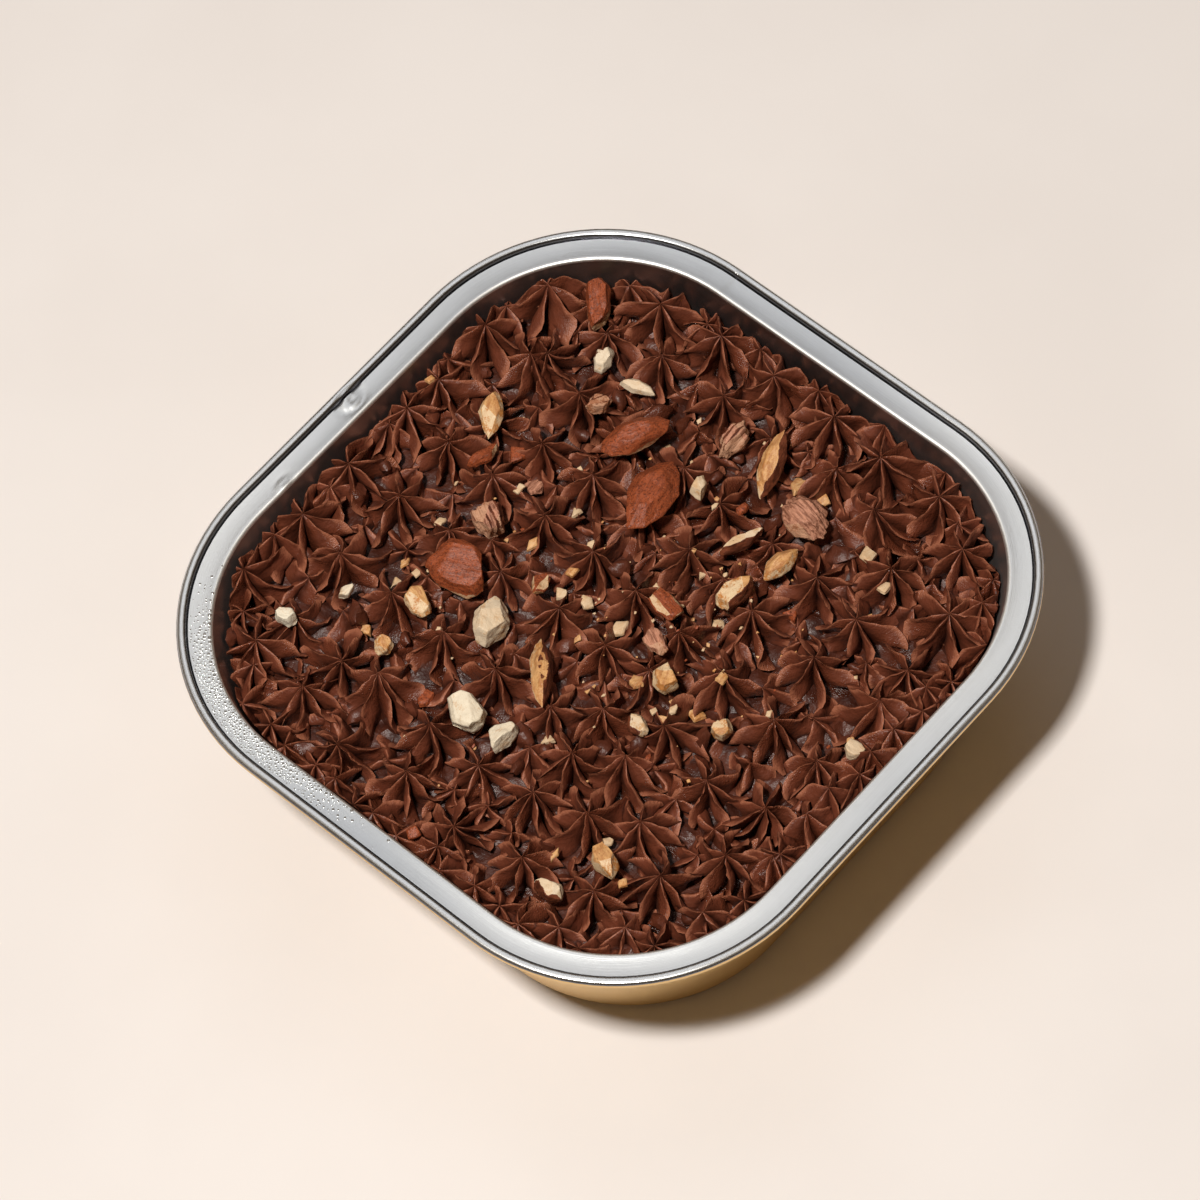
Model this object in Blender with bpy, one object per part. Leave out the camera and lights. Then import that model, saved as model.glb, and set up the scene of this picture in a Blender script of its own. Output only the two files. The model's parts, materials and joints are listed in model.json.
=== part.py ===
"""Square chocolate cake in its foil tin, topped with piped frosting stars and pieces of almond.

The sizes are in millimetres and become metres as each mesh is made. +Z is up, the origin is the middle
of the tin's underside, and X and Y run along the tin's sides.
"""
import math
import random

import bmesh
import bpy
from mathutils import Matrix, Vector
from mathutils.bvhtree import BVHTree

MM = 0.001

# The tin: square with round corners, measured over its rolled bead
RIM_SIDE = 130.0
RIM_HEIGHT = 40.0
BEAD = 1.75
FLANGE_WIDTH = 4.6
FLANGE_DROP = 0.9
FOIL = 0.4
LIP = 0.6
BASE_SIDE = 105.4
BASE_EDGE = 3.0
RIM_CORNER_CENTRE = 25.6
BASE_CORNER_CENTRE = 20.9
CORNER_STEPS = 8

# The cake: it fills the tin up to the bed that the stars are piped on
GAP = 0.3
BED_HEIGHT = 30.0
BED_EDGE = 2.0

# The piped stars
FINS = 8
STAR_TOP = 37.6
STAR_FOOT = 29.0
STAR_REACH = 9.0
STAR_SHIFT = 0.6
STAR_TOP_SPREAD = (-0.9, 0.7)
STAR_REACH_SPREAD = (0.90, 1.07)
STAR_TWIST = 0.15
STAR_LEAN = 0.8
PRESSED = 2.0
PRESSED_ROUND = 1.5
CREST_BULGE = 0.50
VALLEY_REACH = 0.74
VALLEY_BULGE = 0.80
RING_DEPTHS = (0.22, 1.0)
FOOT_INSET = 1.2
WALL_SPREAD = (0.1, 0.5)
STAR_SEED = 10

# Rows of stars as they were piped: first star, last star, how many, sideways bow of the row
STAR_ROWS = (
    ((-45.0, 43.5), (-45.0, -34.0), 7, -3.5),
    ((-35.0, 53.5), (-34.0, -25.0), 8, -3.7),
    ((-21.0, 54.0), (-22.0, -5.5), 6, -1.5),
    ((-16.5, -13.0), (-36.0, -42.0), 4, 0.0),
    ((-7.5, 55.0), (-7.0, -5.5), 6, 0.0),
    ((-11.5, -24.0), (-24.5, -48.5), 3, 2.5),
    ((6.0, 55.5), (-1.5, -49.0), 10, 2.8),
    ((15.0, 54.0), (16.5, -3.5), 6, 2.0),
    ((14.5, -21.5), (12.5, -49.0), 3, 0.0),
    ((27.5, 54.5), (22.5, -48.0), 10, 4.0),
    ((39.0, 51.0), (43.5, -26.5), 7, 3.0),
    ((51.5, 33.0), (52.0, -32.5), 6, 1.5),
    ((46.5, -41.0), (34.0, -48.5), 2, 0.0),
    ((-27.0, -15.0), (-5.5, -15.0), 2, 0.0),
    ((32.5, 42.5), (46.0, 43.5), 2, 0.0),
    ((15.5, -12.5), (35.0, -34.0), 2, 0.0),
    ((-14.5, -45.0), (-14.5, -45.0), 1, 0.0),
)

# Almond pieces: finish, cut, place (x, y), length, width, height, turn in degrees
ALMONDS = (
    ("skin", "chunk", (-10.8, 25.0), 13.5, 11.0, 3.6, 115),
    ("toasted", "chunk", (-20.5, 27.0), 8.5, 5.0, 2.6, 75),
    ("cream", "chunk", (-16.0, 14.6), 10.5, 7.6, 4.2, 30),
    ("cream", "chunk", (-32.2, 5.4), 9.6, 8.0, 4.4, 60),
    ("cream", "chunk", (-31.4, -2.6), 8.8, 5.0, 3.6, 8),
    ("toasted", "half", (-18.0, 0.4), 14.5, 4.8, 3.6, 42),
    ("striped", "chunk", (-0.4, 28.0), 8.6, 6.4, 4.0, 65),
    ("toasted", "sliver", (15.9, 41.8), 11.0, 5.0, 2.6, 35),
    ("skin", "flake", (8.2, 37.1), 7.6, 2.8, 1.6, -5),
    ("skin", "chunk", (44.7, 42.0), 12.5, 5.6, 4.0, 42),
    ("cream", "chunk", (37.2, 34.2), 6.8, 4.2, 3.4, 15),
    ("striped", "chunk", (28.7, 28.0), 5.8, 3.8, 2.4, -35),
    ("cream", "sliver", (36.8, 25.9), 9.2, 2.8, 2.0, 105),
    ("skin", "half", (28.0, 18.4), 14.0, 7.4, 3.6, -25),
    ("skin", "half", (20.4, 8.2), 16.5, 10.0, 4.4, 12),
    ("cream", "chunk", (27.2, 2.4), 5.6, 3.6, 2.4, 40),
    ("striped", "chunk", (39.6, 4.6), 9.2, 4.6, 3.4, 0),
    ("toasted", "half", (39.4, -3.4), 13.5, 5.0, 2.8, 20),
    ("toasted", "chunk", (15.2, -16.2), 9.4, 5.4, 3.0, -8),
    ("toasted", "half", (24.8, -17.6), 9.0, 4.4, 3.0, -8),
    ("striped", "half", (34.2, -15.4), 10.2, 9.0, 4.4, 80),
    ("cream", "sliver", (24.0, -10.3), 9.6, 3.2, 2.4, -28),
    ("skin", "flake", (5.4, -8.0), 8.8, 4.6, 1.3, 80),
    ("striped", "flake", (-0.8, -11.6), 6.8, 4.6, 2.0, 65),
    ("cream", "sliver", (-15.0, -19.8), 6.4, 4.0, 2.0, 70),
    ("toasted", "chunk", (-5.6, -17.4), 6.6, 5.0, 3.0, 30),
    ("toasted", "chunk", (-6.3, -31.0), 5.2, 3.8, 3.0, -20),
    ("cream", "chunk", (-48.0, -29.0), 7.2, 4.4, 3.0, 105),
    ("toasted", "chunk", (-39.0, -32.6), 10.4, 4.8, 3.6, 65),
    ("cream", "chunk", (4.7, -51.0), 5.0, 3.8, 2.4, 100),
    ("toasted", "chunk", (-30.6, 26.0), 5.4, 4.2, 2.2, 60),
    ("cream", "chunk", (-37.6, 42.3), 5.8, 3.2, 3.0, 115),
    ("cream", "chunk", (-26.6, 38.3), 4.8, 2.4, 2.2, 0),
    ("skin", "flake", (-4.3, 12.6), 5.2, 4.0, 1.5, 20),
)
ALMOND_SEED = 21
ALMOND_GAP = 0.33
STEEPEST_LIE = 0.22
LOWEST_REST = 3.0
SETTLE_STEP = 0.1
# Cut: points round the outline, unevenness, width of the foot and the top against the middle, taper
ALMOND_BELLY = 0.42
ALMOND_TILT = 0.15
CUTS = {
    "half": (10, 0.04, 0.72, 0.50, 0.30),
    "chunk": (7, 0.20, 0.85, 0.72, 0.10),
    "sliver": (8, 0.10, 0.85, 0.62, 0.45),
    "flake": (8, 0.18, 0.90, 0.80, 0.15),
}

# Small chips of almond, part sunk in the frosting: place (x, y), size across
CHIPS = (
    (36.2, -28.0, 3.2), (32.8, -35.0, 2.7), (-25.8, -7.9, 2.9), (-29.0, 32.2, 2.6), (-5.6, 35.2, 2.5),
    (-19.4, 33.2, 2.6), (11.2, 17.9, 3.2), (1.4, 19.4, 2.6), (0.9, -25.2, 3.0), (10.3, -15.4, 3.0),
    (40.8, -8.4, 3.8), (40.6, -14.2, 2.2), (14.8, -8.4, 2.0), (8.9, -2.6, 2.0), (-42.0, -24.0, 2.3),
    (-54.6, -2.6, 3.2), (19.6, -24.9, 3.6), (29.0, -5.6, 3.4), (-8.8, -22.4, 2.3), (-5.2, -24.0, 3.0),
    (-3.2, 8.4, 3.0), (-1.6, 4.5, 2.8), (-1.6, -3.4, 3.4), (8.0, 11.9, 2.4), (1.0, 10.1, 2.6),
    (14.0, 33.8, 3.6), (-33.0, 14.4, 3.4), (-15.0, 35.2, 2.2), (20.9, 39.0, 2.0), (-34.0, -29.2, 2.4),
)
CHIP_SIDES = 5
CHIP_SINK = 0.35
CHIP_HEIGHT = 0.6
CHIP_FOOT = 0.8
CHIP_TOP = 0.62
CHIP_SPREAD = (0.75, 1.15)
CHIP_NARROW = (0.6, 0.9)
CHIP_SEED = 33

COLOURS = {
    "foil": ((0.78, 0.79, 0.79), 0.32, 1.0),
    "frosting": ((0.060, 0.022, 0.013), 0.42, 0.0),
    "skin": ((0.33, 0.115, 0.045), 0.60, 0.0),
    "cream": ((0.82, 0.68, 0.45), 0.50, 0.0),
    "toasted": ((0.72, 0.47, 0.22), 0.50, 0.0),
    "striped": ((0.47, 0.28, 0.17), 0.60, 0.0),
}


def material(name):
    """The named finish as a material, made once and shared."""
    if name in bpy.data.materials:
        return bpy.data.materials[name]
    colour, roughness, metallic = COLOURS[name]
    made = bpy.data.materials.new(name)
    made.use_nodes = True
    shader = made.node_tree.nodes["Principled BSDF"]
    shader.inputs["Base Color"].default_value = (*colour, 1.0)
    shader.inputs["Roughness"].default_value = roughness
    shader.inputs["Metallic"].default_value = metallic
    made.diffuse_color = (*colour, 1.0)
    return made


def new_object(name, points, faces, finish):
    """A closed mesh object from points in millimetres, its faces turned outwards."""
    mesh = bpy.data.meshes.new(name)
    mesh.from_pydata([Vector(p) * MM for p in points], [], faces)
    shape = bmesh.new()
    shape.from_mesh(mesh)
    bmesh.ops.recalc_face_normals(shape, faces=shape.faces[:])
    bmesh.ops.triangulate(shape, faces=shape.faces[:])
    shape.to_mesh(mesh)
    shape.free()
    mesh.materials.append(material(finish))
    made = bpy.data.objects.new(name, mesh)
    bpy.context.scene.collection.objects.link(made)
    return made


def loft(rings):
    """Points and faces of a body through rings of equal count, closed at both ends."""
    count = len(rings[0])
    points = [point for ring in rings for point in ring]
    faces = [tuple(range(count))]
    for level in range(len(rings) - 1):
        low, high = level * count, (level + 1) * count
        for i in range(count):
            j = (i + 1) % count
            faces.append((low + i, low + j, high + j, high + i))
    faces.append(tuple(range((len(rings) - 1) * count, len(rings) * count)))
    return points, faces


def rounded_square(half, centre, z):
    """Outline of half side `half` whose corner arcs are centred `centre` out from the middle."""
    points = []
    for corner in range(4):
        start = corner * math.pi / 2
        turn = Matrix.Rotation(start, 2)
        middle = turn @ Vector((centre, centre))
        for step in range(CORNER_STEPS + 1):
            angle = start + step * math.pi / 2 / CORNER_STEPS
            x = middle.x + (half - centre) * math.cos(angle)
            y = middle.y + (half - centre) * math.sin(angle)
            points.append((x, y, z))
    return points


FLANGE_TOP = RIM_HEIGHT - FLANGE_DROP
BEAD_HALF = RIM_SIDE / 2 - BEAD / 2
MOUTH_HALF = RIM_SIDE / 2 - BEAD - FLANGE_WIDTH


def wall(z):
    """Half side and corner centre of the wall's inner face at height z."""
    share = (z - BASE_EDGE) / (FLANGE_TOP - BASE_EDGE)
    foot = BASE_SIDE / 2 - FOIL
    half = foot + share * (MOUTH_HALF - foot)
    centre = BASE_CORNER_CENTRE + share * (RIM_CORNER_CENTRE - BASE_CORNER_CENTRE)
    return half, centre


def edge_arc(half, radius, floor, centre, steps):
    """Rings round the rounded bottom edge, from the flat underside up to the wall."""
    rings = []
    for step in range(steps + 1):
        angle = step * math.pi / 2 / steps
        across = half - radius * (1 - math.sin(angle))
        rings.append(rounded_square(across, centre, floor + radius * (1 - math.cos(angle))))
    return rings


def build_tin():
    """The foil tin: a thin shell with a flat flange and a bead rolled round its edge."""
    under = FLANGE_TOP - FOIL
    half, centre = wall(under)
    rings = edge_arc(BASE_SIDE / 2, BASE_EDGE, 0.0, BASE_CORNER_CENTRE, 3)
    rings.append(rounded_square(half + FOIL, centre, under))
    bead_middle = RIM_HEIGHT - BEAD / 2
    for degrees in (-150, -100, -50, 0, 45, 90, 135, 180):
        angle = math.radians(degrees)
        across = BEAD_HALF + BEAD / 2 * math.cos(angle)
        rings.append(rounded_square(across, RIM_CORNER_CENTRE, bead_middle + BEAD / 2 * math.sin(angle)))
    for degrees in (0, 45, 90):
        angle = math.radians(degrees)
        across = MOUTH_HALF + LIP * (1 - math.sin(angle))
        rings.append(rounded_square(across, RIM_CORNER_CENTRE, FLANGE_TOP - LIP * (1 - math.cos(angle))))
    inner_edge = edge_arc(BASE_SIDE / 2 - FOIL, BASE_EDGE - FOIL, FOIL, BASE_CORNER_CENTRE, 3)
    rings.extend(reversed(inner_edge))
    tin = new_object("tin", *loft(rings), "foil")
    tin.data.shade_smooth()
    tin.data.set_sharp_from_angle(angle=math.radians(40))
    return tin


def covered(x, y):
    """Whether a large almond piece lies over this place and presses the star down."""
    for _finish, _cut, place, length, width, _height, degrees in ALMONDS:
        away = Matrix.Rotation(-math.radians(degrees), 2) @ Vector((x - place[0], y - place[1]))
        along = away.x / (length / 2 + PRESSED_ROUND)
        across = away.y / (width / 2 + PRESSED_ROUND)
        if along ** 2 + across ** 2 < 1:
            return True
    return False


def star_places():
    """Every star of the rows: place, top, reach, turn, twist and lean, each a little uneven."""
    draw = random.Random(STAR_SEED)
    stars = []
    for first, last, count, bow in STAR_ROWS:
        for i in range(count):
            share = i / max(count - 1, 1)
            x = first[0] + share * (last[0] - first[0]) + bow * math.sin(math.pi * share)
            y = first[1] + share * (last[1] - first[1])
            x += draw.uniform(-STAR_SHIFT, STAR_SHIFT)
            y += draw.uniform(-STAR_SHIFT, STAR_SHIFT)
            star = {
                "x": x,
                "y": y,
                "top": STAR_TOP + draw.uniform(*STAR_TOP_SPREAD),
                "reach": STAR_REACH * draw.uniform(*STAR_REACH_SPREAD),
                "turn": draw.uniform(0, math.tau / FINS),
                "twist": draw.uniform(-STAR_TWIST, STAR_TWIST),
                "lean_x": draw.uniform(-STAR_LEAN, STAR_LEAN),
                "lean_y": draw.uniform(-STAR_LEAN, STAR_LEAN),
            }
            if covered(x, y):
                star["top"] -= PRESSED
            stars.append(star)
    return stars


def inside_wall(x, y, z, gap):
    """The point moved in, if need be, to lie clear of the tin's wall."""
    half, centre = wall(z)
    out_x = max(abs(x) - centre, 0.0)
    out_y = max(abs(y) - centre, 0.0)
    out = math.hypot(out_x, out_y)
    limit = half - centre - gap
    if out > limit:
        x = math.copysign(centre + out_x * limit / out, x) if out_x else x
        y = math.copysign(centre + out_y * limit / out, y) if out_y else y
    return x, y, z


def star_ring(star, depth, gap):
    """One ring of a star: crests and valleys in turn, `depth` running from the tip 0 to the foot 1."""
    z = star["top"] + depth * (STAR_FOOT - star["top"])
    crest = star["reach"] * depth ** CREST_BULGE
    valley = star["reach"] * VALLEY_REACH * depth ** VALLEY_BULGE
    ring = []
    for i in range(2 * FINS):
        angle = star["turn"] + i * math.pi / FINS + star["twist"] * (1 - depth)
        across = valley if i % 2 else crest
        x = star["x"] + star["lean_x"] * (1 - depth) + across * math.cos(angle)
        y = star["y"] + star["lean_y"] * (1 - depth) + across * math.sin(angle)
        ring.append(inside_wall(x, y, z, gap + FOOT_INSET * depth))
    return ring


def star_solid(star, gap):
    """Points and faces of one piped star, with a pointed tip and a flat foot."""
    tip = inside_wall(star["x"] + star["lean_x"], star["y"] + star["lean_y"], star["top"], gap)
    points = [tip]
    count = 2 * FINS
    faces = [(0, 1 + i, 1 + (i + 1) % count) for i in range(count)]
    for depth in RING_DEPTHS:
        points.extend(star_ring(star, depth, gap))
    for level in range(len(RING_DEPTHS) - 1):
        low, high = 1 + level * count, 1 + (level + 1) * count
        for i in range(count):
            j = (i + 1) % count
            faces.append((low + i, low + j, high + j, high + i))
    faces.append(tuple(range(len(points) - count, len(points))))
    return points, faces


def joined_later(points, faces, collection):
    """A solid made in the given collection, for the union to take."""
    solid = new_object("solid", points, faces, "frosting")
    bpy.context.scene.collection.objects.unlink(solid)
    collection.objects.link(solid)


def height_at(x, y, trees):
    """Height of the highest star over a place, or of the bed between the stars."""
    height = BED_HEIGHT
    for tree in trees:
        hit = tree.ray_cast(Vector((x, y, 2 * RIM_HEIGHT)), Vector((0, 0, -1)))[0]
        if hit is not None:
            height = max(height, hit.z)
    return height


def chip_solid(x, y, z, size, draw):
    """Points and faces of a small blunt chip, sunk by part of its height at z."""
    rings = []
    spread = [draw.uniform(*CHIP_SPREAD) for _ in range(CHIP_SIDES)]
    start = draw.uniform(0, math.tau)
    narrow = draw.uniform(*CHIP_NARROW)
    for level, width in ((-CHIP_SINK, CHIP_FOOT), (1 - CHIP_SINK, CHIP_TOP)):
        ring = []
        for i in range(CHIP_SIDES):
            angle = start + i * math.tau / CHIP_SIDES
            along = size / 2 * width * spread[i] * math.cos(angle)
            across = size / 2 * width * spread[i] * narrow * math.sin(angle)
            ring.append((x + along, y + across, z + level * size * CHIP_HEIGHT))
        rings.append(ring)
    return loft(rings)


def keep_largest(mesh):
    """Drop what the union leaves apart from the main surface: loose scraps and sealed hollows."""
    shape = bmesh.new()
    shape.from_mesh(mesh)
    left = set(shape.faces)
    bodies = []
    while left:
        front = [left.pop()]
        body = set(front)
        while front:
            for edge in front.pop().edges:
                for face in left.intersection(edge.link_faces):
                    left.remove(face)
                    body.add(face)
                    front.append(face)
        bodies.append(body)
    bodies.sort(key=len)
    for body in bodies[:-1]:
        bmesh.ops.delete(shape, geom=list(body), context="FACES")
    shape.to_mesh(mesh)
    shape.free()


def build_cake():
    """The cake up to its bed of frosting, with every piped star joined to it as one solid."""
    floor = FOIL + GAP
    half, centre = wall(BED_HEIGHT)
    foot = BASE_SIDE / 2 - FOIL - GAP
    rings = edge_arc(foot, BASE_EDGE - FOIL - GAP, floor, BASE_CORNER_CENTRE, 2)
    low_half, low_centre = wall(BED_HEIGHT - BED_EDGE)
    rings.append(rounded_square(low_half - GAP, low_centre, BED_HEIGHT - BED_EDGE))
    rings.append(rounded_square(half - GAP - BED_EDGE / 2, centre, BED_HEIGHT))
    cake = new_object("cake", *loft(rings), "frosting")

    piping = bpy.data.collections.new("piping")
    bpy.context.scene.collection.children.link(piping)
    draw = random.Random(STAR_SEED + 1)
    trees = []
    for star in star_places():
        points, faces = star_solid(star, GAP + draw.uniform(*WALL_SPREAD))
        trees.append(BVHTree.FromPolygons(points, faces))
        joined_later(points, faces, piping)
    draw = random.Random(CHIP_SEED)
    for x, y, size in CHIPS:
        joined_later(*chip_solid(x, y, height_at(x, y, trees), size, draw), piping)

    union = cake.modifiers.new("piping", "BOOLEAN")
    union.operation = "UNION"
    union.operand_type = "COLLECTION"
    union.collection = piping
    union.solver = "MANIFOLD"
    joined = bpy.data.meshes.new_from_object(cake.evaluated_get(bpy.context.evaluated_depsgraph_get()))
    keep_largest(joined)
    cake.modifiers.clear()
    cake.data = joined
    for solid in list(piping.objects):
        bpy.data.objects.remove(solid)
    bpy.data.collections.remove(piping)
    return cake


def almond_shape(cut, length, width, height, draw):
    """Faceted almond piece standing on z = 0, as a bmesh in millimetres."""
    sides, uneven, foot, top, taper = CUTS[cut]
    tilt = draw.uniform(-ALMOND_TILT, ALMOND_TILT) * height / width
    shape = bmesh.new()
    for i in range(sides):
        angle = math.tau * i / sides + draw.uniform(-uneven, uneven)
        size = 1 + draw.uniform(-uneven, uneven)
        x = length / 2 * size * math.cos(angle)
        y = width / 2 * size * math.sin(angle) * (1 - taper * abs(math.cos(angle)))
        for share, level in ((foot, 0.0), (1.0, ALMOND_BELLY), (top, 1.0)):
            rise = level * (height + tilt * y * share)
            shape.verts.new((x * share, y * share, rise))
    hull = bmesh.ops.convex_hull(shape, input=shape.verts[:])
    inner = set(hull["geom_interior"] + hull["geom_unused"])
    corners = [item for item in inner if isinstance(item, bmesh.types.BMVert)]
    bmesh.ops.delete(shape, geom=corners, context="VERTS")
    bmesh.ops.triangulate(shape, faces=shape.faces[:])
    bmesh.ops.recalc_face_normals(shape, faces=shape.faces[:])
    return shape


def slope_under(tree, x, y, reach):
    """Lie of the frosting under a piece: the turn that sets it level with the tops it rests on."""
    high = []
    steps = 3
    for i in range(-steps, steps + 1):
        for j in range(-steps, steps + 1):
            place = Vector((x + i * reach / steps, y + j * reach / steps, 2 * RIM_HEIGHT))
            hit = tree.ray_cast(place, Vector((0, 0, -1)))[0]
            if hit is not None:
                high.append(hit)
    high.sort(key=lambda point: -point.z)
    high = high[: len(high) // 3]
    middle = sum(high, Vector()) / len(high)
    lie_x = sum((p.x - middle.x) * (p.z - middle.z) for p in high)
    lie_x /= sum((p.x - middle.x) ** 2 for p in high)
    lie_y = sum((p.y - middle.y) * (p.z - middle.z) for p in high)
    lie_y /= sum((p.y - middle.y) ** 2 for p in high)
    lie_x = max(-STEEPEST_LIE, min(STEEPEST_LIE, lie_x))
    lie_y = max(-STEEPEST_LIE, min(STEEPEST_LIE, lie_y))
    return Vector((0, 0, 1)).rotation_difference(Vector((-lie_x, -lie_y, 1))).to_matrix().to_4x4()


def settle(shape, x, y, turn, lie, trees):
    """Lower a piece onto what lies below it, until it is one gap clear of all of it."""
    bmesh.ops.transform(shape, matrix=lie @ turn, verts=shape.verts[:])
    z = STAR_TOP - LOWEST_REST
    grown = shape.copy()
    for corner in grown.verts:
        corner.co += corner.normal * ALMOND_GAP
    bmesh.ops.translate(grown, vec=(x, y, z), verts=grown.verts[:])
    while any(tree.overlap(BVHTree.FromBMesh(grown)) for tree in trees) or buried(grown, trees[0]):
        bmesh.ops.translate(grown, vec=(0, 0, SETTLE_STEP), verts=grown.verts[:])
        z += SETTLE_STEP
    grown.free()
    bmesh.ops.translate(shape, vec=(x, y, z), verts=shape.verts[:])


def buried(shape, tree):
    """Whether a corner of the piece lies under the frosting's surface."""
    for corner in shape.verts:
        if tree.ray_cast(corner.co, Vector((0, 0, 1)))[0] is not None:
            return True
    return False


def build_almonds(cake):
    """The larger almond pieces, each settled on the stars under it."""
    surface = bmesh.new()
    surface.from_mesh(cake.data)
    bmesh.ops.scale(surface, vec=(1 / MM, 1 / MM, 1 / MM), verts=surface.verts[:])
    trees = [BVHTree.FromBMesh(surface)]
    surface.free()
    draw = random.Random(ALMOND_SEED)
    for number, (finish, cut, place, length, width, height, degrees) in enumerate(ALMONDS, 1):
        shape = almond_shape(cut, length, width, height, draw)
        turn = Matrix.Rotation(math.radians(degrees), 4, "Z")
        lie = slope_under(trees[0], *place, width / 2)
        settle(shape, *place, turn, lie, trees)
        trees.append(BVHTree.FromBMesh(shape))
        points = [corner.co.copy() for corner in shape.verts]
        faces = [[corner.index for corner in face.verts] for face in shape.faces]
        shape.free()
        new_object(f"almond_{finish}_{number:02d}", points, faces, finish)


def main():
    """Build the tin, the cake and its almonds in an empty scene."""
    for old in list(bpy.data.objects):
        bpy.data.objects.remove(old, do_unlink=True)
    build_tin()
    cake = build_cake()
    build_almonds(cake)


main()
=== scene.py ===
"""Looks of a square chocolate cake in its foil tin, piped with stars of frosting and strewn with almonds.

The sizes are in millimetres, and a mesh becomes metres as it is made. Those of the tin, the stars and the
almond pieces are the sizes of the solids, so every piece lies where its solid lies.
"""
import json
import logging
import math
import random
from collections.abc import Iterator
from dataclasses import dataclass, field, replace
from enum import Enum

import bmesh
import bpy
import numpy as np
from mathutils import Matrix, Vector, noise
from mathutils.bvhtree import BVHTree

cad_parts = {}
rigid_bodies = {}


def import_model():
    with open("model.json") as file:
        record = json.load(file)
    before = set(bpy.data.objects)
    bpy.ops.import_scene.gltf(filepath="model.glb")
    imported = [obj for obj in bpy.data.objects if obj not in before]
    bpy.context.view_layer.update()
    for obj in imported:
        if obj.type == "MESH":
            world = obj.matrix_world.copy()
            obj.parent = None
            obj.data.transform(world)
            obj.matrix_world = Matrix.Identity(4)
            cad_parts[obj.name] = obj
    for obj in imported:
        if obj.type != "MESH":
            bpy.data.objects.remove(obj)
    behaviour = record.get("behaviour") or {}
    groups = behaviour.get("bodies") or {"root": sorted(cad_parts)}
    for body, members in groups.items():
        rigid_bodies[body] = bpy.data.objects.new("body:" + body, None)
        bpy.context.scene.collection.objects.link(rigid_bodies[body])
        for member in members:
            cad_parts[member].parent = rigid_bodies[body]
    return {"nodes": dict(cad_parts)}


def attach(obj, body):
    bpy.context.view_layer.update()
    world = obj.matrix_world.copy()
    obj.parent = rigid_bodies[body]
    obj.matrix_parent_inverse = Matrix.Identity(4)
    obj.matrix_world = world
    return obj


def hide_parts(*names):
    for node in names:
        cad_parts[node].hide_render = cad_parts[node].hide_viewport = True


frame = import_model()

LOG = logging.getLogger("almond_cake")
MM = 0.001
NOISE_SEED = 7
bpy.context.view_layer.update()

Point = tuple[float, float, float]
Colour = tuple[float, float, float]
Face = tuple[int, ...]
# Points, faces, and how near each point is to the crest of a fin, which the frosting's colour uses for
# painted shade in the valleys and the paler, partly painted highlight on the crests
Solid = tuple[list[Point], list[Face], list[float]]


# Shader building

class Link:
    """An output socket of a node tree that carries a colour, a vector or a number."""

    def __init__(self, shader: "Shader", socket: bpy.types.NodeSocket) -> None:
        """Keep the socket and the shader it belongs to."""
        self.shader = shader
        self.socket = socket


class Value(Link):
    """A number in a node tree. Arithmetic on it adds Math nodes."""

    def math(self, operation: str, *terms: "Value | float") -> "Value":
        """Add one Math node.

        Args:
            operation: Blender's name of the operation.
            terms: what goes into its sockets, in order.

        Returns:
            The node's result.
        """
        return self.shader.node("ShaderNodeMath", {"operation": operation}, dict(enumerate(terms)))

    def __add__(self, other: "Value | float") -> "Value":
        """Sum."""
        return self.math("ADD", self, other)

    def __radd__(self, other: float) -> "Value":
        """Sum with a plain number on the left."""
        return self.math("ADD", other, self)

    def __sub__(self, other: "Value | float") -> "Value":
        """Difference."""
        return self.math("SUBTRACT", self, other)

    def __rsub__(self, other: float) -> "Value":
        """Difference from a plain number."""
        return self.math("SUBTRACT", other, self)

    def __mul__(self, other: "Value | float") -> "Value":
        """Product."""
        return self.math("MULTIPLY", self, other)

    def __rmul__(self, other: float) -> "Value":
        """Product with a plain number on the left."""
        return self.math("MULTIPLY", other, self)

    def between(self, low: float, high: float) -> "Value":
        """Smooth step of this number: 0 at low, 1 at high."""
        settings = {"interpolation_type": "SMOOTHSTEP"}
        return self.shader.node("ShaderNodeMapRange", settings, {0: self, 1: low, 2: high})

    def clamped(self) -> "Value":
        """This number kept from 0 to 1."""
        return self.shader.node("ShaderNodeClamp", {}, {0: self})


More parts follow.
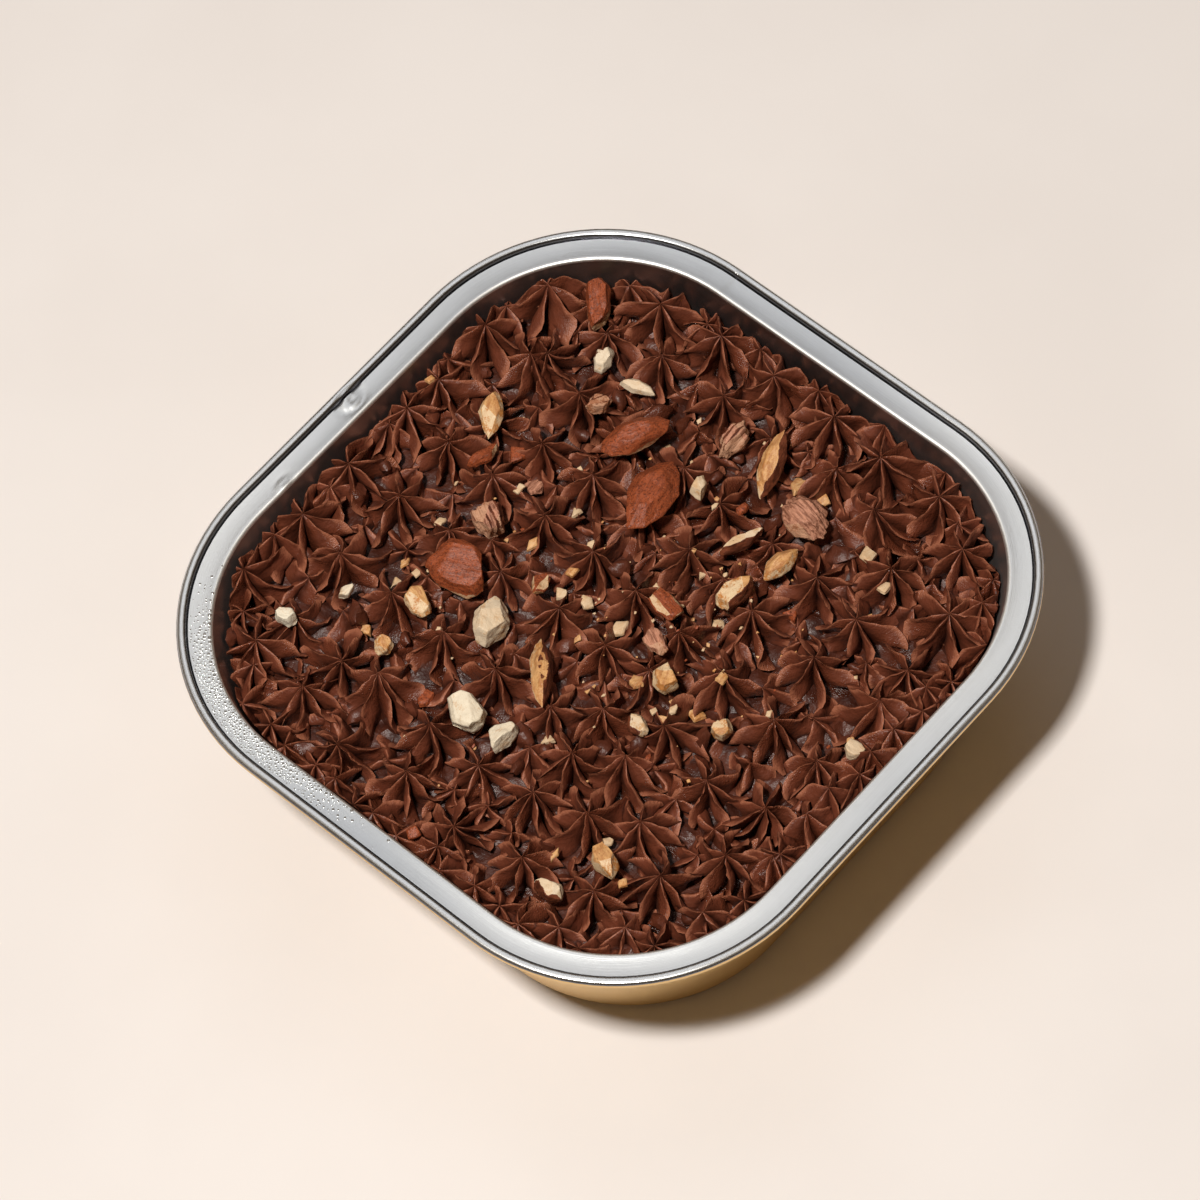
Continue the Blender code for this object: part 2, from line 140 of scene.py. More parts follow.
class Shader:
    """One material and its node tree, round the Principled BSDF that it starts with."""

    def __init__(self, name: str) -> None:
        """Make the material.

        Args:
            name: the material's name.
        """
        self.material = bpy.data.materials.new(name)
        self.material.use_nodes = True
        self.tree = self.material.node_tree
        self.surface = self.tree.nodes["Principled BSDF"]

    def node(self, kind: str, settings: dict | None = None, inputs: dict | None = None,
             output: int | str = 0) -> Link:
        """Add a node, set it up and feed its sockets.

        Args:
            kind: Blender's type name of the node.
            settings: its properties, set first.
            inputs: a value or a link for each socket named or numbered here.
            output: the socket to return.

        Returns:
            A Value for a socket with a number, and a Link for any other.
        """
        made = self.tree.nodes.new(kind)
        for key, setting in (settings or {}).items():
            setattr(made, key, setting)
        for key, term in (inputs or {}).items():
            self.feed(made.inputs[key], term)
        socket = made.outputs[output]
        return Value(self, socket) if socket.type == "VALUE" else Link(self, socket)

    def feed(self, socket: bpy.types.NodeSocket, term: Link | float | tuple) -> None:
        """Link a term to a socket, or set the socket to it.

        Args:
            socket: the socket.
            term: a link, a number, or a colour or vector.
        """
        if isinstance(term, Link):
            self.tree.links.new(term.socket, socket)
        else:
            socket.default_value = term

    def shape(self, **terms: Link | float | tuple) -> None:
        """Feed sockets of the surface, named with underscores for spaces."""
        for name, term in terms.items():
            self.feed(self.surface.inputs[name.replace("_", " ")], term)

    def attribute(self, name: str, output: str = "Fac") -> Link:
        """A value or vector kept on the mesh's points."""
        return self.node("ShaderNodeAttribute", {"attribute_name": name}, {}, output)

    def place(self) -> Link:
        """The point's place on the object, in metres."""
        return self.node("ShaderNodeTexCoord", {}, {}, "Object")

    def grain(self, scale: float, detail: float = 2.0, at: Link | None = None, rough: float = 0.5) -> Value:
        """Noise from 0 to 1.

        Args:
            scale: how many blotches to a unit of the place.
            detail: octaves of finer noise.
            at: the place; metres on the object if left out.
            rough: share of the finer octaves.

        Returns:
            The noise.
        """
        inputs = {"Vector": at or self.place(), "Scale": scale, "Detail": detail, "Roughness": rough}
        return self.node("ShaderNodeTexNoise", {}, inputs, "Fac")

    def mix(self, share: Link | float, low: Link | Colour, high: Link | Colour) -> Link:
        """Blend two colours.

        Args:
            share: how much of the second colour.
            low: the first colour.
            high: the second colour.

        Returns:
            The blended colour.
        """
        pair = [term if isinstance(term, Link) else (*term, 1.0) for term in (low, high)]
        return self.node("ShaderNodeMix", {"data_type": "RGBA"}, {0: share, 6: pair[0], 7: pair[1]}, 2)

    def stretched(self, place: Link, stretch: Point) -> Link:
        """A place scaled by a factor along each axis."""
        return self.node("ShaderNodeVectorMath", {"operation": "MULTIPLY"}, {0: place, 1: stretch})

    def bump(self, height: Value, distance: float, strength: float = 1.0, under: Link | None = None) -> Link:
        """A normal raised by a height.

        Args:
            height: from 0 to 1.
            distance: what 1 stands for, in metres.
            strength: share of the bump.
            under: a normal to start from.

        Returns:
            The normal.
        """
        inputs = {"Height": height, "Distance": distance, "Strength": strength}
        if under is not None:
            inputs["Normal"] = under
        return self.node("ShaderNodeBump", {}, inputs)


# Finishes

@dataclass(frozen=True)
class FrostingFinish:
    """Dark chocolate frosting: matt to satin with a fine sugar grain, painted shade deep in the valleys, and
    a paler colour along the thin ridges that is partly painted highlight and partly paler torn frosting.
    """

    # Painted shade: the darkest colour, given down in the valleys between the fins and on the bed
    valley_shade: Colour = (0.036, 0.0078, 0.0034)
    body: Colour = (0.156, 0.0400, 0.0190)
    # Paler crest colour: partly painted highlight where the thin crests catch the light, partly the paler
    # torn frosting
    ridge: Colour = (0.385, 0.1340, 0.0710)
    roughness: float = 0.45

    def material(self) -> bpy.types.Material:
        """Build the material."""
        shader = Shader("frosting")
        blotch = shader.grain(260, 3).between(0.30, 0.72)
        ridge = shader.attribute("ridge")
        # Painted shade: darker from the crests down into the valleys, mixed with random blotches of tone
        raised = (0.45 * blotch + 0.75 * ridge.between(0.0, 0.55)).clamped()
        colour = shader.mix(raised, self.valley_shade, self.body)
        # Crest lines: partly painted highlight, partly paler torn frosting, with ragged edges
        ragged = shader.grain(900, 3)
        edge = (ridge + 0.22 * (ragged - 0.5)).between(0.74, 0.98)
        colour = shader.mix(edge * 0.85, colour, self.ridge)
        sugar = shader.grain(3600, 2)
        lumps = shader.grain(1300, 3)
        wet = shader.grain(170, 2).between(0.50, 0.66)
        rough = self.roughness - 0.20 * wet + 0.20 * (lumps - 0.5) + 0.30 * (sugar - 0.5)
        normal = shader.bump(lumps, 0.00024, 0.75)
        coarse = 0.30 + 1.3 * wet + 0.9 * ridge.between(0.35, 0.95)
        normal = shader.bump(sugar * coarse, 0.00012, 0.95, normal)
        shader.shape(Base_Color=colour, Roughness=rough, Normal=normal, IOR=1.45, Specular_IOR_Level=0.50)
        return shader.material


@dataclass(frozen=True)
class FoilFinish:
    """Aluminium foil, rolled matt or polished, or lacquered.

    `lane` on the mesh is the distance across and along the rim, in millimetres, so drawn lines run along it.
    The foil's brightness, which the tin writes on the mesh for each direction round the rim, is a painted
    reflection: the rolled foil's sheen painted into its colour, dimmer towards the streak colour.
    """

    name: str
    colour: Colour
    # The colour of the brushed streaks, also used for the painted dimming where the sheen is weak
    streak_and_shade: Colour
    roughness: float
    spread: float = 0.14
    line_height: float = 0.00003
    grain_height: float = 0.00002

    def material(self) -> bpy.types.Material:
        """Build the material."""
        shader = Shader(self.name)
        lane = shader.attribute("lane", "Vector")
        fine = shader.grain(3200, 3)
        lines = shader.grain(1.0, 3, shader.stretched(lane, (7.0, 0.05, 1.0)), 0.6)
        wide = shader.grain(1.0, 2, shader.stretched(lane, (0.30, 0.07, 0.0)))
        # Painted reflection: how bright the foil's sheen is painted in this direction round the rim
        tone = shader.attribute("tone")
        # Painted dimming where the sheen is weak, with the real brushed streaks, darkens the foil towards the
        # streak colour
        streaks_and_painted_dim = 0.7 * (1.0 - tone) + 0.5 * (wide - 0.5) + 0.4 * (lines - 0.5)
        colour = shader.mix(streaks_and_painted_dim.clamped(), self.colour, self.streak_and_shade)
        rough = self.roughness + self.spread * (fine - 0.5) + self.spread * (wide - 0.5) + 0.08 * tone
        normal = shader.bump(lines, self.line_height, 0.7)
        normal = shader.bump(fine, self.grain_height, 0.5, normal)
        shader.shape(Base_Color=colour, Roughness=rough, Normal=normal, Metallic=1.0)
        return shader.material


@dataclass(frozen=True)
class MoistureFinish:
    """Droplets on the foil, nearly metallic so that they mirror the light as the foil under them does."""

    tint: Colour = (0.93, 0.95, 0.96)
    clear: Colour = (1.0, 1.0, 1.0)

    def material(self) -> bpy.types.Material:
        """Build the material."""
        shader = Shader("moisture")
        colour = shader.mix(shader.grain(2400, 1), self.tint, self.clear)
        shader.shape(Base_Color=colour, Roughness=0.05, Metallic=0.9, IOR=1.33)
        return shader.material


@dataclass(frozen=True)
class AlmondFinish:
    """Almond flesh or skin, from a colour for each of its parts.

    `lie` on the mesh is the place in the piece's own frame, in millimetres. `cut` rises from the outer face
    to the underside, and `cap` is 1 on the faces where the piece was chopped. `pale` is how blanched the
    piece is, and `rind` is where brown skin still clings to its side.
    """

    name: str
    flesh: Colour
    toast: Colour
    outer: Colour
    outer_dark: Colour
    toasted_share: float
    outer_share: float
    bare_from: float
    line_scale: Point
    line_depth: float
    line_share: float
    speck_share: float
    fleck_share: float
    roughness: float
    ivory: Colour = (0.84, 0.755, 0.60)
    rind: Colour = (0.20, 0.055, 0.024)
    rind_dark: Colour = (0.085, 0.022, 0.010)

    def material(self) -> bpy.types.Material:
        """Build the material."""
        shader = Shader(self.name)
        lie = shader.attribute("lie", "Vector")
        pale = shader.attribute("pale")
        cut = shader.attribute("cut")
        cap = shader.attribute("cap")
        patch = shader.grain(0.42, 3, lie, 0.6)
        speck = shader.grain(3.0, 3, lie, 0.6)
        fine = shader.grain(8.0, 2, lie, 0.6)
        lines = shader.grain(1.0, 3, shader.stretched(lie, self.line_scale), 0.65)
        first = 0.66 - 0.5 * self.toasted_share
        toast = (patch + 0.5 * (speck - 0.5)).between(first, first + 0.16)
        flesh = shader.mix(toast, self.flesh, self.toast)
        flesh = shader.mix(lines.between(0.35, 0.8) * 0.35, flesh, self.toast)
        outer = shader.mix(lines.between(0.40, 0.66) * self.line_share, self.outer, self.outer_dark)
        outer = shader.mix(speck.between(0.50, 0.64) * self.speck_share, outer, self.outer_dark)
        outer = shader.mix(fine.between(0.64, 0.74) * self.fleck_share, outer, self.flesh)
        bare = (cut + 0.35 * (speck - 0.5)).between(self.bare_from, self.bare_from + 0.16)
        shown = (1.0 - bare) * (1.0 - cap) * self.outer_share
        colour = shader.mix(shown, flesh, outer)
        colour = shader.mix(pale * (1.0 - 0.5 * toast), colour, self.ivory)
        clinging = (shader.attribute("rind") + 0.6 * (speck - 0.5)).between(0.42, 0.58)
        colour = shader.mix(clinging, colour, shader.mix(lines.between(0.4, 0.6), self.rind, self.rind_dark))
        normal = shader.bump(lines, 0.0003 * self.line_depth, 0.8)
        normal = shader.bump(speck, 0.00010, 0.8, normal)
        normal = shader.bump(fine, 0.00004, 0.7, normal)
        rough = self.roughness + 0.30 * (speck - 0.5)
        shader.shape(Base_Color=colour, Roughness=rough, Normal=normal, IOR=1.46, Specular_IOR_Level=0.36)
        return shader.material


@dataclass(frozen=True)
class FloorFinish:
    """Plain pale floor with a faint mottle."""

    colour: Colour = (0.83, 0.785, 0.765)
    shade: Colour = (0.80, 0.752, 0.730)

    def material(self) -> bpy.types.Material:
        """Build the material."""
        shader = Shader("floor")
        mottle = shader.grain(14, 4)
        shader.shape(Base_Color=shader.mix(mottle.between(0.3, 0.7), self.colour, self.shade), Roughness=0.85)
        return shader.material


class Foil(Enum):
    """Finishes of the tin, in the order of its material slots."""

    # Its faint blue tint is a painted reflection of blue sky
    SATIN = FoilFinish("foil_satin", (0.97, 0.99, 1.0), (0.59, 0.62, 0.655), 0.34)
    POLISHED = FoilFinish("foil_polished", (0.97, 0.98, 0.98), (0.86, 0.87, 0.88), 0.22, 0.08)
    LACQUER = FoilFinish("foil_lacquer", (0.80, 0.56, 0.25), (0.72, 0.48, 0.20), 0.30)
    LIP = FoilFinish("foil_lip", (1.0, 0.99, 0.97), (0.92, 0.91, 0.89), 0.44)
    # Painted shade: darker foil for the inner wall beside the frosting
    INNER = FoilFinish("foil_inner_shade", (0.50, 0.47, 0.46), (0.34, 0.315, 0.31), 0.36)
    # Painted shade: dark foil in the groove between bead and flange and on the bead's sides
    CREASE = FoilFinish("foil_crease", (0.27, 0.27, 0.29), (0.20, 0.20, 0.215), 0.20, 0.08)


class Nut(Enum):
    """Finishes of almond pieces, by the word in the node's name."""

    SKIN = AlmondFinish(
        "almond_skin", flesh=(0.70, 0.48, 0.29), toast=(0.50, 0.24, 0.10), outer=(0.345, 0.078, 0.027),
        outer_dark=(0.125, 0.026, 0.010), toasted_share=0.4, outer_share=1.0, bare_from=0.86,
        line_scale=(0.30, 1.6, 1.0), line_depth=0.8, line_share=0.55, speck_share=0.95, fleck_share=0.45,
        roughness=0.42)
    CREAM = AlmondFinish(
        "almond_cream", flesh=(0.74, 0.57, 0.39), toast=(0.60, 0.35, 0.165), outer=(0.70, 0.50, 0.31),
        outer_dark=(0.62, 0.38, 0.19), toasted_share=0.28, outer_share=0.75, bare_from=0.42,
        line_scale=(0.3, 1.3, 1.0), line_depth=0.5, line_share=0.8, speck_share=0.3, fleck_share=0.35,
        roughness=0.46)
    TOASTED = AlmondFinish(
        "almond_toasted", flesh=(0.78, 0.58, 0.36), toast=(0.54, 0.22, 0.060), outer=(0.70, 0.37, 0.14),
        outer_dark=(0.38, 0.130, 0.036), toasted_share=0.4, outer_share=0.9, bare_from=0.32,
        line_scale=(0.3, 1.2, 1.0), line_depth=0.8, line_share=0.8, speck_share=0.35, fleck_share=0.35,
        roughness=0.44)
    STRIPED = AlmondFinish(
        "almond_striped", flesh=(0.60, 0.33, 0.205), toast=(0.40, 0.160, 0.078), outer=(0.58, 0.27, 0.17),
        outer_dark=(0.19, 0.065, 0.034), toasted_share=0.3, outer_share=1.0, bare_from=0.60,
        line_scale=(0.18, 2.2, 1.4), line_depth=1.6, line_share=1.0, speck_share=0.3, fleck_share=0.35,
        roughness=0.55)


# Mesh building

def band(low: int, high: int, count: int) -> list[Face]:
    """Faces between two rings of points.

    Args:
        low: number of the first ring's first point.
        high: number of the second ring's first point.
        count: points in each ring.

    Returns:
        The faces.
    """
    return [(low + i, low + (i + 1) % count, high + (i + 1) % count, high + i) for i in range(count)]


def loft(rings: list[list[Point]]) -> tuple[list[Point], list[Face]]:
    """Surface through rings of equal count, closed by a face at both ends.

    Args:
        rings: the rings, each a list of points.

    Returns:
        The points and the faces. The face at the first ring comes first and that at the last ring last.
    """
    count = len(rings[0])
    points = [point for ring in rings for point in ring]
    faces = [tuple(range(count))]
    for level in range(len(rings) - 1):
        faces.extend(band(level * count, (level + 1) * count, count))
    faces.append(tuple(range((len(rings) - 1) * count, len(rings) * count)))
    return points, faces


def new_mesh(name: str, points: list | np.ndarray, faces: list[Face], scale: float = MM) -> bpy.types.Mesh:
    """Mesh with its faces turned outwards.

    Args:
        name: the mesh's name.
        points: its points, in millimetres.
        faces: its faces, as point numbers.
        scale: what a millimetre becomes.

    Returns:
        The mesh.
    """
    mesh = bpy.data.meshes.new(name)
    mesh.from_pydata([Vector(point) * scale for point in points], [], faces)
    shape = bmesh.new()
    shape.from_mesh(mesh)
    bmesh.ops.recalc_face_normals(shape, faces=shape.faces[:])
    shape.to_mesh(mesh)
    shape.free()
    return mesh


def new_piece(name: str, mesh: bpy.types.Mesh, slot: str, *replaced: str) -> bpy.types.Object:
    """Piece of the scene that rides with the part.

    Args:
        name: the piece's name.
        mesh: its mesh, with its materials.
        slot: the record's material slot; not used.
        replaced: the nodes that it stands for.

    Returns:
        The piece.
    """
    piece = bpy.data.objects.new(name, mesh)
    bpy.context.scene.collection.objects.link(piece)
    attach(piece, "root")
    if replaced:
        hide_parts(*replaced)
    LOG.info("%s: %d faces", name, len(mesh.polygons))
    return piece


def write_attribute(mesh: bpy.types.Mesh, name: str, values: np.ndarray) -> None:
    """Keep a number or a vector for each point of a mesh."""
    kind, key = ("FLOAT", "value") if values.ndim == 1 else ("FLOAT_VECTOR", "vector")
    made = mesh.attributes.new(name, kind, "POINT")
    made.data.foreach_set(key, values.astype(np.float32).ravel())


def mesh_points(mesh: bpy.types.Mesh) -> np.ndarray:
    """The mesh's points as an array of rows, in millimetres."""
    flat = np.zeros(len(mesh.vertices) * 3, np.float32)
    mesh.vertices.foreach_get("co", flat)
    return flat.reshape(-1, 3) / MM


def drop_flaps(shape: bmesh.types.BMesh) -> None:
    """Take out pairs of faces that lie back to back on the same points.

    Args:
        shape: the mesh to clean.
    """
    same: dict[frozenset, list] = {}
    for face in shape.faces:
        same.setdefault(frozenset(face.verts), []).append(face)
    flaps = [face for pair in same.values() if len(pair) > 1 for face in pair]
    bmesh.ops.delete(shape, geom=flaps, context="FACES")


def smooth_step(value: float, low: float, high: float) -> float:
    """Smooth rise from 0 at low to 1 at high."""
    share = max(0.0, min(1.0, (value - low) / (high - low)))
    return share * share * (3 - 2 * share)


def bell(value: float, middle: float, width: float) -> float:
    """Bell curve: 1 at its middle, and near 0 two widths away."""
    return math.exp(-((value - middle) / width) ** 2)


def wobble(place: Vector, scale: float, amount: float) -> Vector:
    """Smooth random shift of a place, in millimetres."""
    return noise.noise_vector(place * scale) * amount


# The tin

# Degrees between the rings round an edge
ARC_STEP = 15
# Half side, corner centre, height, and the finish of the band that ends there
Ring = tuple[float, float, float, Foil]


@dataclass(frozen=True)
class TinForm:
    """Form of the foil tin: a square with round corners whose walls lean out to a flange and a bead.

    `gap` is the room that it leaves round the cake.
    """

    rim_side: float = 130.0
    rim_height: float = 40.0
    bead: float = 1.75
    flange_width: float = 4.6
    flange_drop: float = 0.9
    foil: float = 0.4
    lip: float = 0.6
    base_side: float = 105.4
    base_edge: float = 3.0
    rim_corner_centre: float = 25.6
    base_corner_centre: float = 20.9
    corner_steps: int = 24
    side_steps: int = 56
    gap: float = 0.3

    @property
    def flange_top(self) -> float:
        """Height of the flange."""
        return self.rim_height - self.flange_drop

    @property
    def bead_half(self) -> float:
        """Half side of the line through the middle of the bead."""
        return self.rim_side / 2 - self.bead / 2

    @property
    def mouth_half(self) -> float:
        """Half side of the mouth."""
        return self.rim_side / 2 - self.bead - self.flange_width

    def outline(self, half: float, centre: float, z: float, side_steps: int = 1) -> list[Point]:
        """Round-cornered square.

        Args:
            half: half of its side.
            centre: how far out the centres of its corner arcs are.
            z: its height.
            side_steps: parts that each straight side is divided into.

        Returns:
            Its points, anticlockwise.
        """
        points = []
        for corner in range(4):
            turn = Matrix.Rotation(corner * math.pi / 2, 2)
            for step in range(self.corner_steps + 1):
                angle = step * math.pi / 2 / self.corner_steps
                arc = Vector((math.cos(angle), math.sin(angle))) * (half - centre)
                points.append((*(turn @ (Vector((centre, centre)) + arc)), z))
            for step in range(1, side_steps):
                along = centre * (1 - 2 * step / side_steps)
                points.append((*(turn @ Vector((along, half))), z))
        return points

    def wall(self, z: float) -> tuple[float, float]:
        """Half side and corner centre of the wall's inner face at a height.

        Args:
            z: the height.

        Returns:
            The half side and the corner centre.
        """
        share = (z - self.base_edge) / (self.flange_top - self.base_edge)
        foot = self.base_side / 2 - self.foil
        half = foot + share * (self.mouth_half - foot)
        centre = self.base_corner_centre + share * (self.rim_corner_centre - self.base_corner_centre)
        return half, centre

    def inside(self, x: float, y: float, z: float, gap: float) -> Point:
        """The point moved in, if need be, to lie clear of the wall by a gap.

        Args:
            x: the place along x.
            y: the place along y.
            z: its height.
            gap: the room to leave.

        Returns:
            The point, moved or as it was.
        """
        half, centre = self.wall(z)
        out_x = max(abs(x) - centre, 0.0)
        out_y = max(abs(y) - centre, 0.0)
        out = math.hypot(out_x, out_y)
        limit = half - centre - gap
        if out > limit:
            x = math.copysign(centre + out_x * limit / out, x) if out_x else x
            y = math.copysign(centre + out_y * limit / out, y) if out_y else y
        return x, y, z

    def near_wall(self, x: float, y: float, z: float, zone: float) -> bool:
        """Whether a point lies nearer to the wall than this zone is wide."""
        return self.inside(x, y, z, zone)[:2] != (x, y)


@dataclass(frozen=True)
class Dent:
    """One small dent in the rim: a raised ring, higher on one side, with a moat round it and a pit in it.

    The ring, the moat and the pit each have their distance from the middle and their width, as shares of the
    dent's size. The moat and the pit also have their depth, as a share of its height.
    """

    x: float
    y: float
    size: float
    height: float
    length: float = 1.35
    steep_side: tuple[float, float] = (0.6, 0.4)
    ring: tuple[float, float] = (0.75, 0.34)
    moat: tuple[float, float, float] = (1.45, 0.28, 0.45)
    pit: tuple[float, float, float] = (0.0, 0.4, 0.25)

    def raised(self, x: float, y: float, z: float) -> float:
        """Height of the foil at this place once it is dented.

        Args:
            x: the place along x.
            y: the place along y.
            z: the height before.

        Returns:
            The height after.
        """
        along, across = (x - self.x) / self.length, y - self.y
        away = math.hypot(along, across) / self.size
        share = self.steep_side[0] - self.steep_side[1] * max(-1.0, min(1.0, along / self.size))
        z += self.height * (share * bell(away, *self.ring) - self.moat[2] * bell(away, *self.moat[:2]))
        return z - self.pit[2] * self.height * bell(away, *self.pit[:2])


@dataclass
class Tin:
    """The foil tin: silver flange, bead and lip, inner wall darkened with painted shade, gold lacquer outside
    and two dents.

    The twelve levels below are painted sheen: how bright the flange's reflection is painted in each of twelve
    directions, anticlockwise from +X.
    """

    form: TinForm = field(default_factory=TinForm)
    wall_steps: int = 10
    flange_steps: int = 9
    groove: float = 0.28
    flattened: float = 0.72
    hollow: float = 0.09
    crease_at: float = 38.0
    crease_width: float = 9.0
    crease_depth: float = 0.10
    sharp_from: float = 60.0
    # Painted sheen of the flange, brighter in some directions round the rim than in others
    painted_sheens: tuple[float, ...] = (0.10, 0.20, 0.45, 0.50, 1.00, 0.65, 0.05, 0.65, 0.75, 0.65, 1.00, 0.85)
    dents: tuple[Dent, ...] = (
        Dent(1.2, 61.9, size=1.35, height=0.36), Dent(-18.9, 59.7, size=1.0, height=0.24))

    def profile(self) -> list[Ring]:
        """Section of the tin from the middle of its underside, over the rim, to its inner floor.

        Returns:
            Half side, corner centre, height and the finish of the band that ends there, ring by ring.
        """
        form = self.form
        rings = list(self._edge(form.base_side / 2, form.base_edge, 0.0, Foil.LACQUER))
        under = form.flange_top - form.foil
        for step in range(1, self.wall_steps + 1):
            z = form.base_edge + (under - form.base_edge) * step / self.wall_steps
            half, centre = form.wall(z)
            rings.append((half + form.foil, centre, z, Foil.LACQUER))
        rings.extend(self._bead())
        rings.extend(self._flange())
        top = form.flange_top - form.lip
        # The inner wall gets the darker foil of painted shade
        for step in range(1, self.wall_steps):
            z = top - (top - form.base_edge) * step / self.wall_steps
            rings.append((*form.wall(z), z, Foil.INNER))
        inner = self._edge(form.base_side / 2 - form.foil, form.base_edge - form.foil, form.foil, Foil.INNER)
        rings.extend(reversed(list(inner)))
        return rings

    def _edge(self, half: float, radius: float, floor: float, finish: Foil) -> Iterator[Ring]:
        """Rings round a rounded bottom edge, from the flat floor up to the wall.

        Args:
            half: half side of the wall's foot.
            radius: the edge's radius.
            floor: height of the floor.
            finish: finish of the bands.

        Returns:
            The rings.
        """
        for degrees in range(0, 91, ARC_STEP):
            angle = math.radians(degrees)
            across = half - radius * (1 - math.sin(angle))
            yield across, self.form.base_corner_centre, floor + radius * (1 - math.cos(angle)), finish

    def _flange(self) -> Iterator[Ring]:
        """Rings over the slightly hollow flange and round the lip at the mouth."""
        form = self.form
        first = form.bead_half - form.bead / 2 - self.groove
        last = form.mouth_half + form.lip
        for step in range(self.flange_steps + 1):
            share = step / self.flange_steps
            z = form.flange_top - self.hollow * 4 * share * (1 - share)
            # The first ring, at the groove, gets the dark foil of painted shade
            finish = Foil.SATIN if step else Foil.CREASE
            yield first + (last - first) * share, form.rim_corner_centre, z, finish
        for degrees in range(ARC_STEP, 91, ARC_STEP):
            angle = math.radians(degrees)
            half = form.mouth_half + form.lip * (1 - math.sin(angle))
            z = form.flange_top - form.lip * (1 - math.cos(angle))
            yield half, form.rim_corner_centre, z, Foil.LIP

    def _bead(self) -> Iterator[Ring]:
        """Rings round the rolled bead, from under it to the groove beside the flange."""
        form = self.form
        middle = form.rim_height - form.bead / 2
        for degrees in range(-165, 181, ARC_STEP):
            angle = math.radians(degrees)
            crease = self.crease_depth * bell(degrees, self.crease_at, self.crease_width)
            radius = form.bead / 2 * (1 - crease)
            half = form.bead_half + radius * self._squared(math.cos(angle))
            z = middle + radius * self._squared(math.sin(angle))
            yield half, form.rim_corner_centre, z, self._bead_finish(degrees)
        # The groove beside the flange gets the dark foil of painted shade
        half = form.bead_half - form.bead / 2 - 0.4 * self.groove
        yield half, form.rim_corner_centre, middle - self.groove, Foil.CREASE

    def _squared(self, way: float) -> float:
        """A sine or cosine pushed outwards, which makes the bead's round section a little square."""
        return math.copysign(abs(way) ** self.flattened, way)

    @staticmethod
    def _bead_finish(degrees: int) -> Foil:
        """Finish of the bead, by the angle round it from its outer side over its top: the bands beside its
        polished top get painted shade.
        """
        if degrees < 30:
            return Foil.LACQUER
        return Foil.POLISHED if 50 <= degrees <= 130 else Foil.CREASE

    def dented(self, point: Point) -> Point:
        """The point moved by the dents, where it is on the upper side of the rim.

        Args:
            point: the point.

        Returns:
            The point, moved or as it was.
        """
        x, y, z = point
        if z < self.form.flange_top - self.form.foil / 2:
            return point
        for dent in self.dents:
            z = dent.raised(x, y, z)
        return x, y, min(z, self.form.rim_height)

    def lanes(self, profile: list[Ring]) -> np.ndarray:
        """Distance across and along the rim for each point of the mesh.

        Args:
            profile: the tin's section.

        Returns:
            A row for each point, ring by ring.
        """
        outline = self.form.outline(self.form.bead_half, self.form.rim_corner_centre, 0, self.form.side_steps)
        run = [0.0]
        for first, second in zip(outline, outline[1:]):
            run.append(run[-1] + math.dist(first, second))
        return np.array([(half + z, along, 0.0) for half, _centre, z, _finish in profile for along in run])

    def tone(self, x: float, y: float) -> float:
        """Painted sheen: how bright the rolled foil's reflection is painted in this direction from the
        middle, from 0 to 1.

        Args:
            x: the place along x.
            y: the place along y.

        Returns:
            The brightness.
        """
        place = math.atan2(y, x) % math.tau / math.tau * len(self.painted_sheens)
        number = int(place) % len(self.painted_sheens)
        share = smooth_step(place - int(place), 0, 1)
        return self.painted_sheens[number] * (1 - share) + self.painted_sheens[(number + 1) % len(self.painted_sheens)] * share

    def build(self) -> bpy.types.Object:
        """Build the tin in place of its solid."""
        profile = self.profile()
        rings = []
        for half, centre, z, _finish in profile:
            outline = self.form.outline(half, centre, z, self.form.side_steps)
            rings.append([self.dented(point) for point in outline])
        points, faces = loft(rings)
        mesh = new_mesh("tin_foil", points, faces)
        order = list(Foil)
        for finish in order:
            mesh.materials.append(finish.value.material())
        count = len(rings[0])
        write_attribute(mesh, "lane", self.lanes(profile))
        # Painted sheen for each point, by its direction round the rim
        write_attribute(mesh, "tone", np.array([self.tone(x, y) for ring in rings for x, y, _z in ring]))
        for number, face in enumerate(mesh.polygons):
            row = min((number - 1) // count + 1, len(profile) - 1) if number else 0
            face.material_index = order.index(profile[row][3])
        mesh.shade_smooth()
        mesh.set_sharp_from_angle(angle=math.radians(self.sharp_from))
        return new_piece("tin_foil", mesh, "foil", "tin")


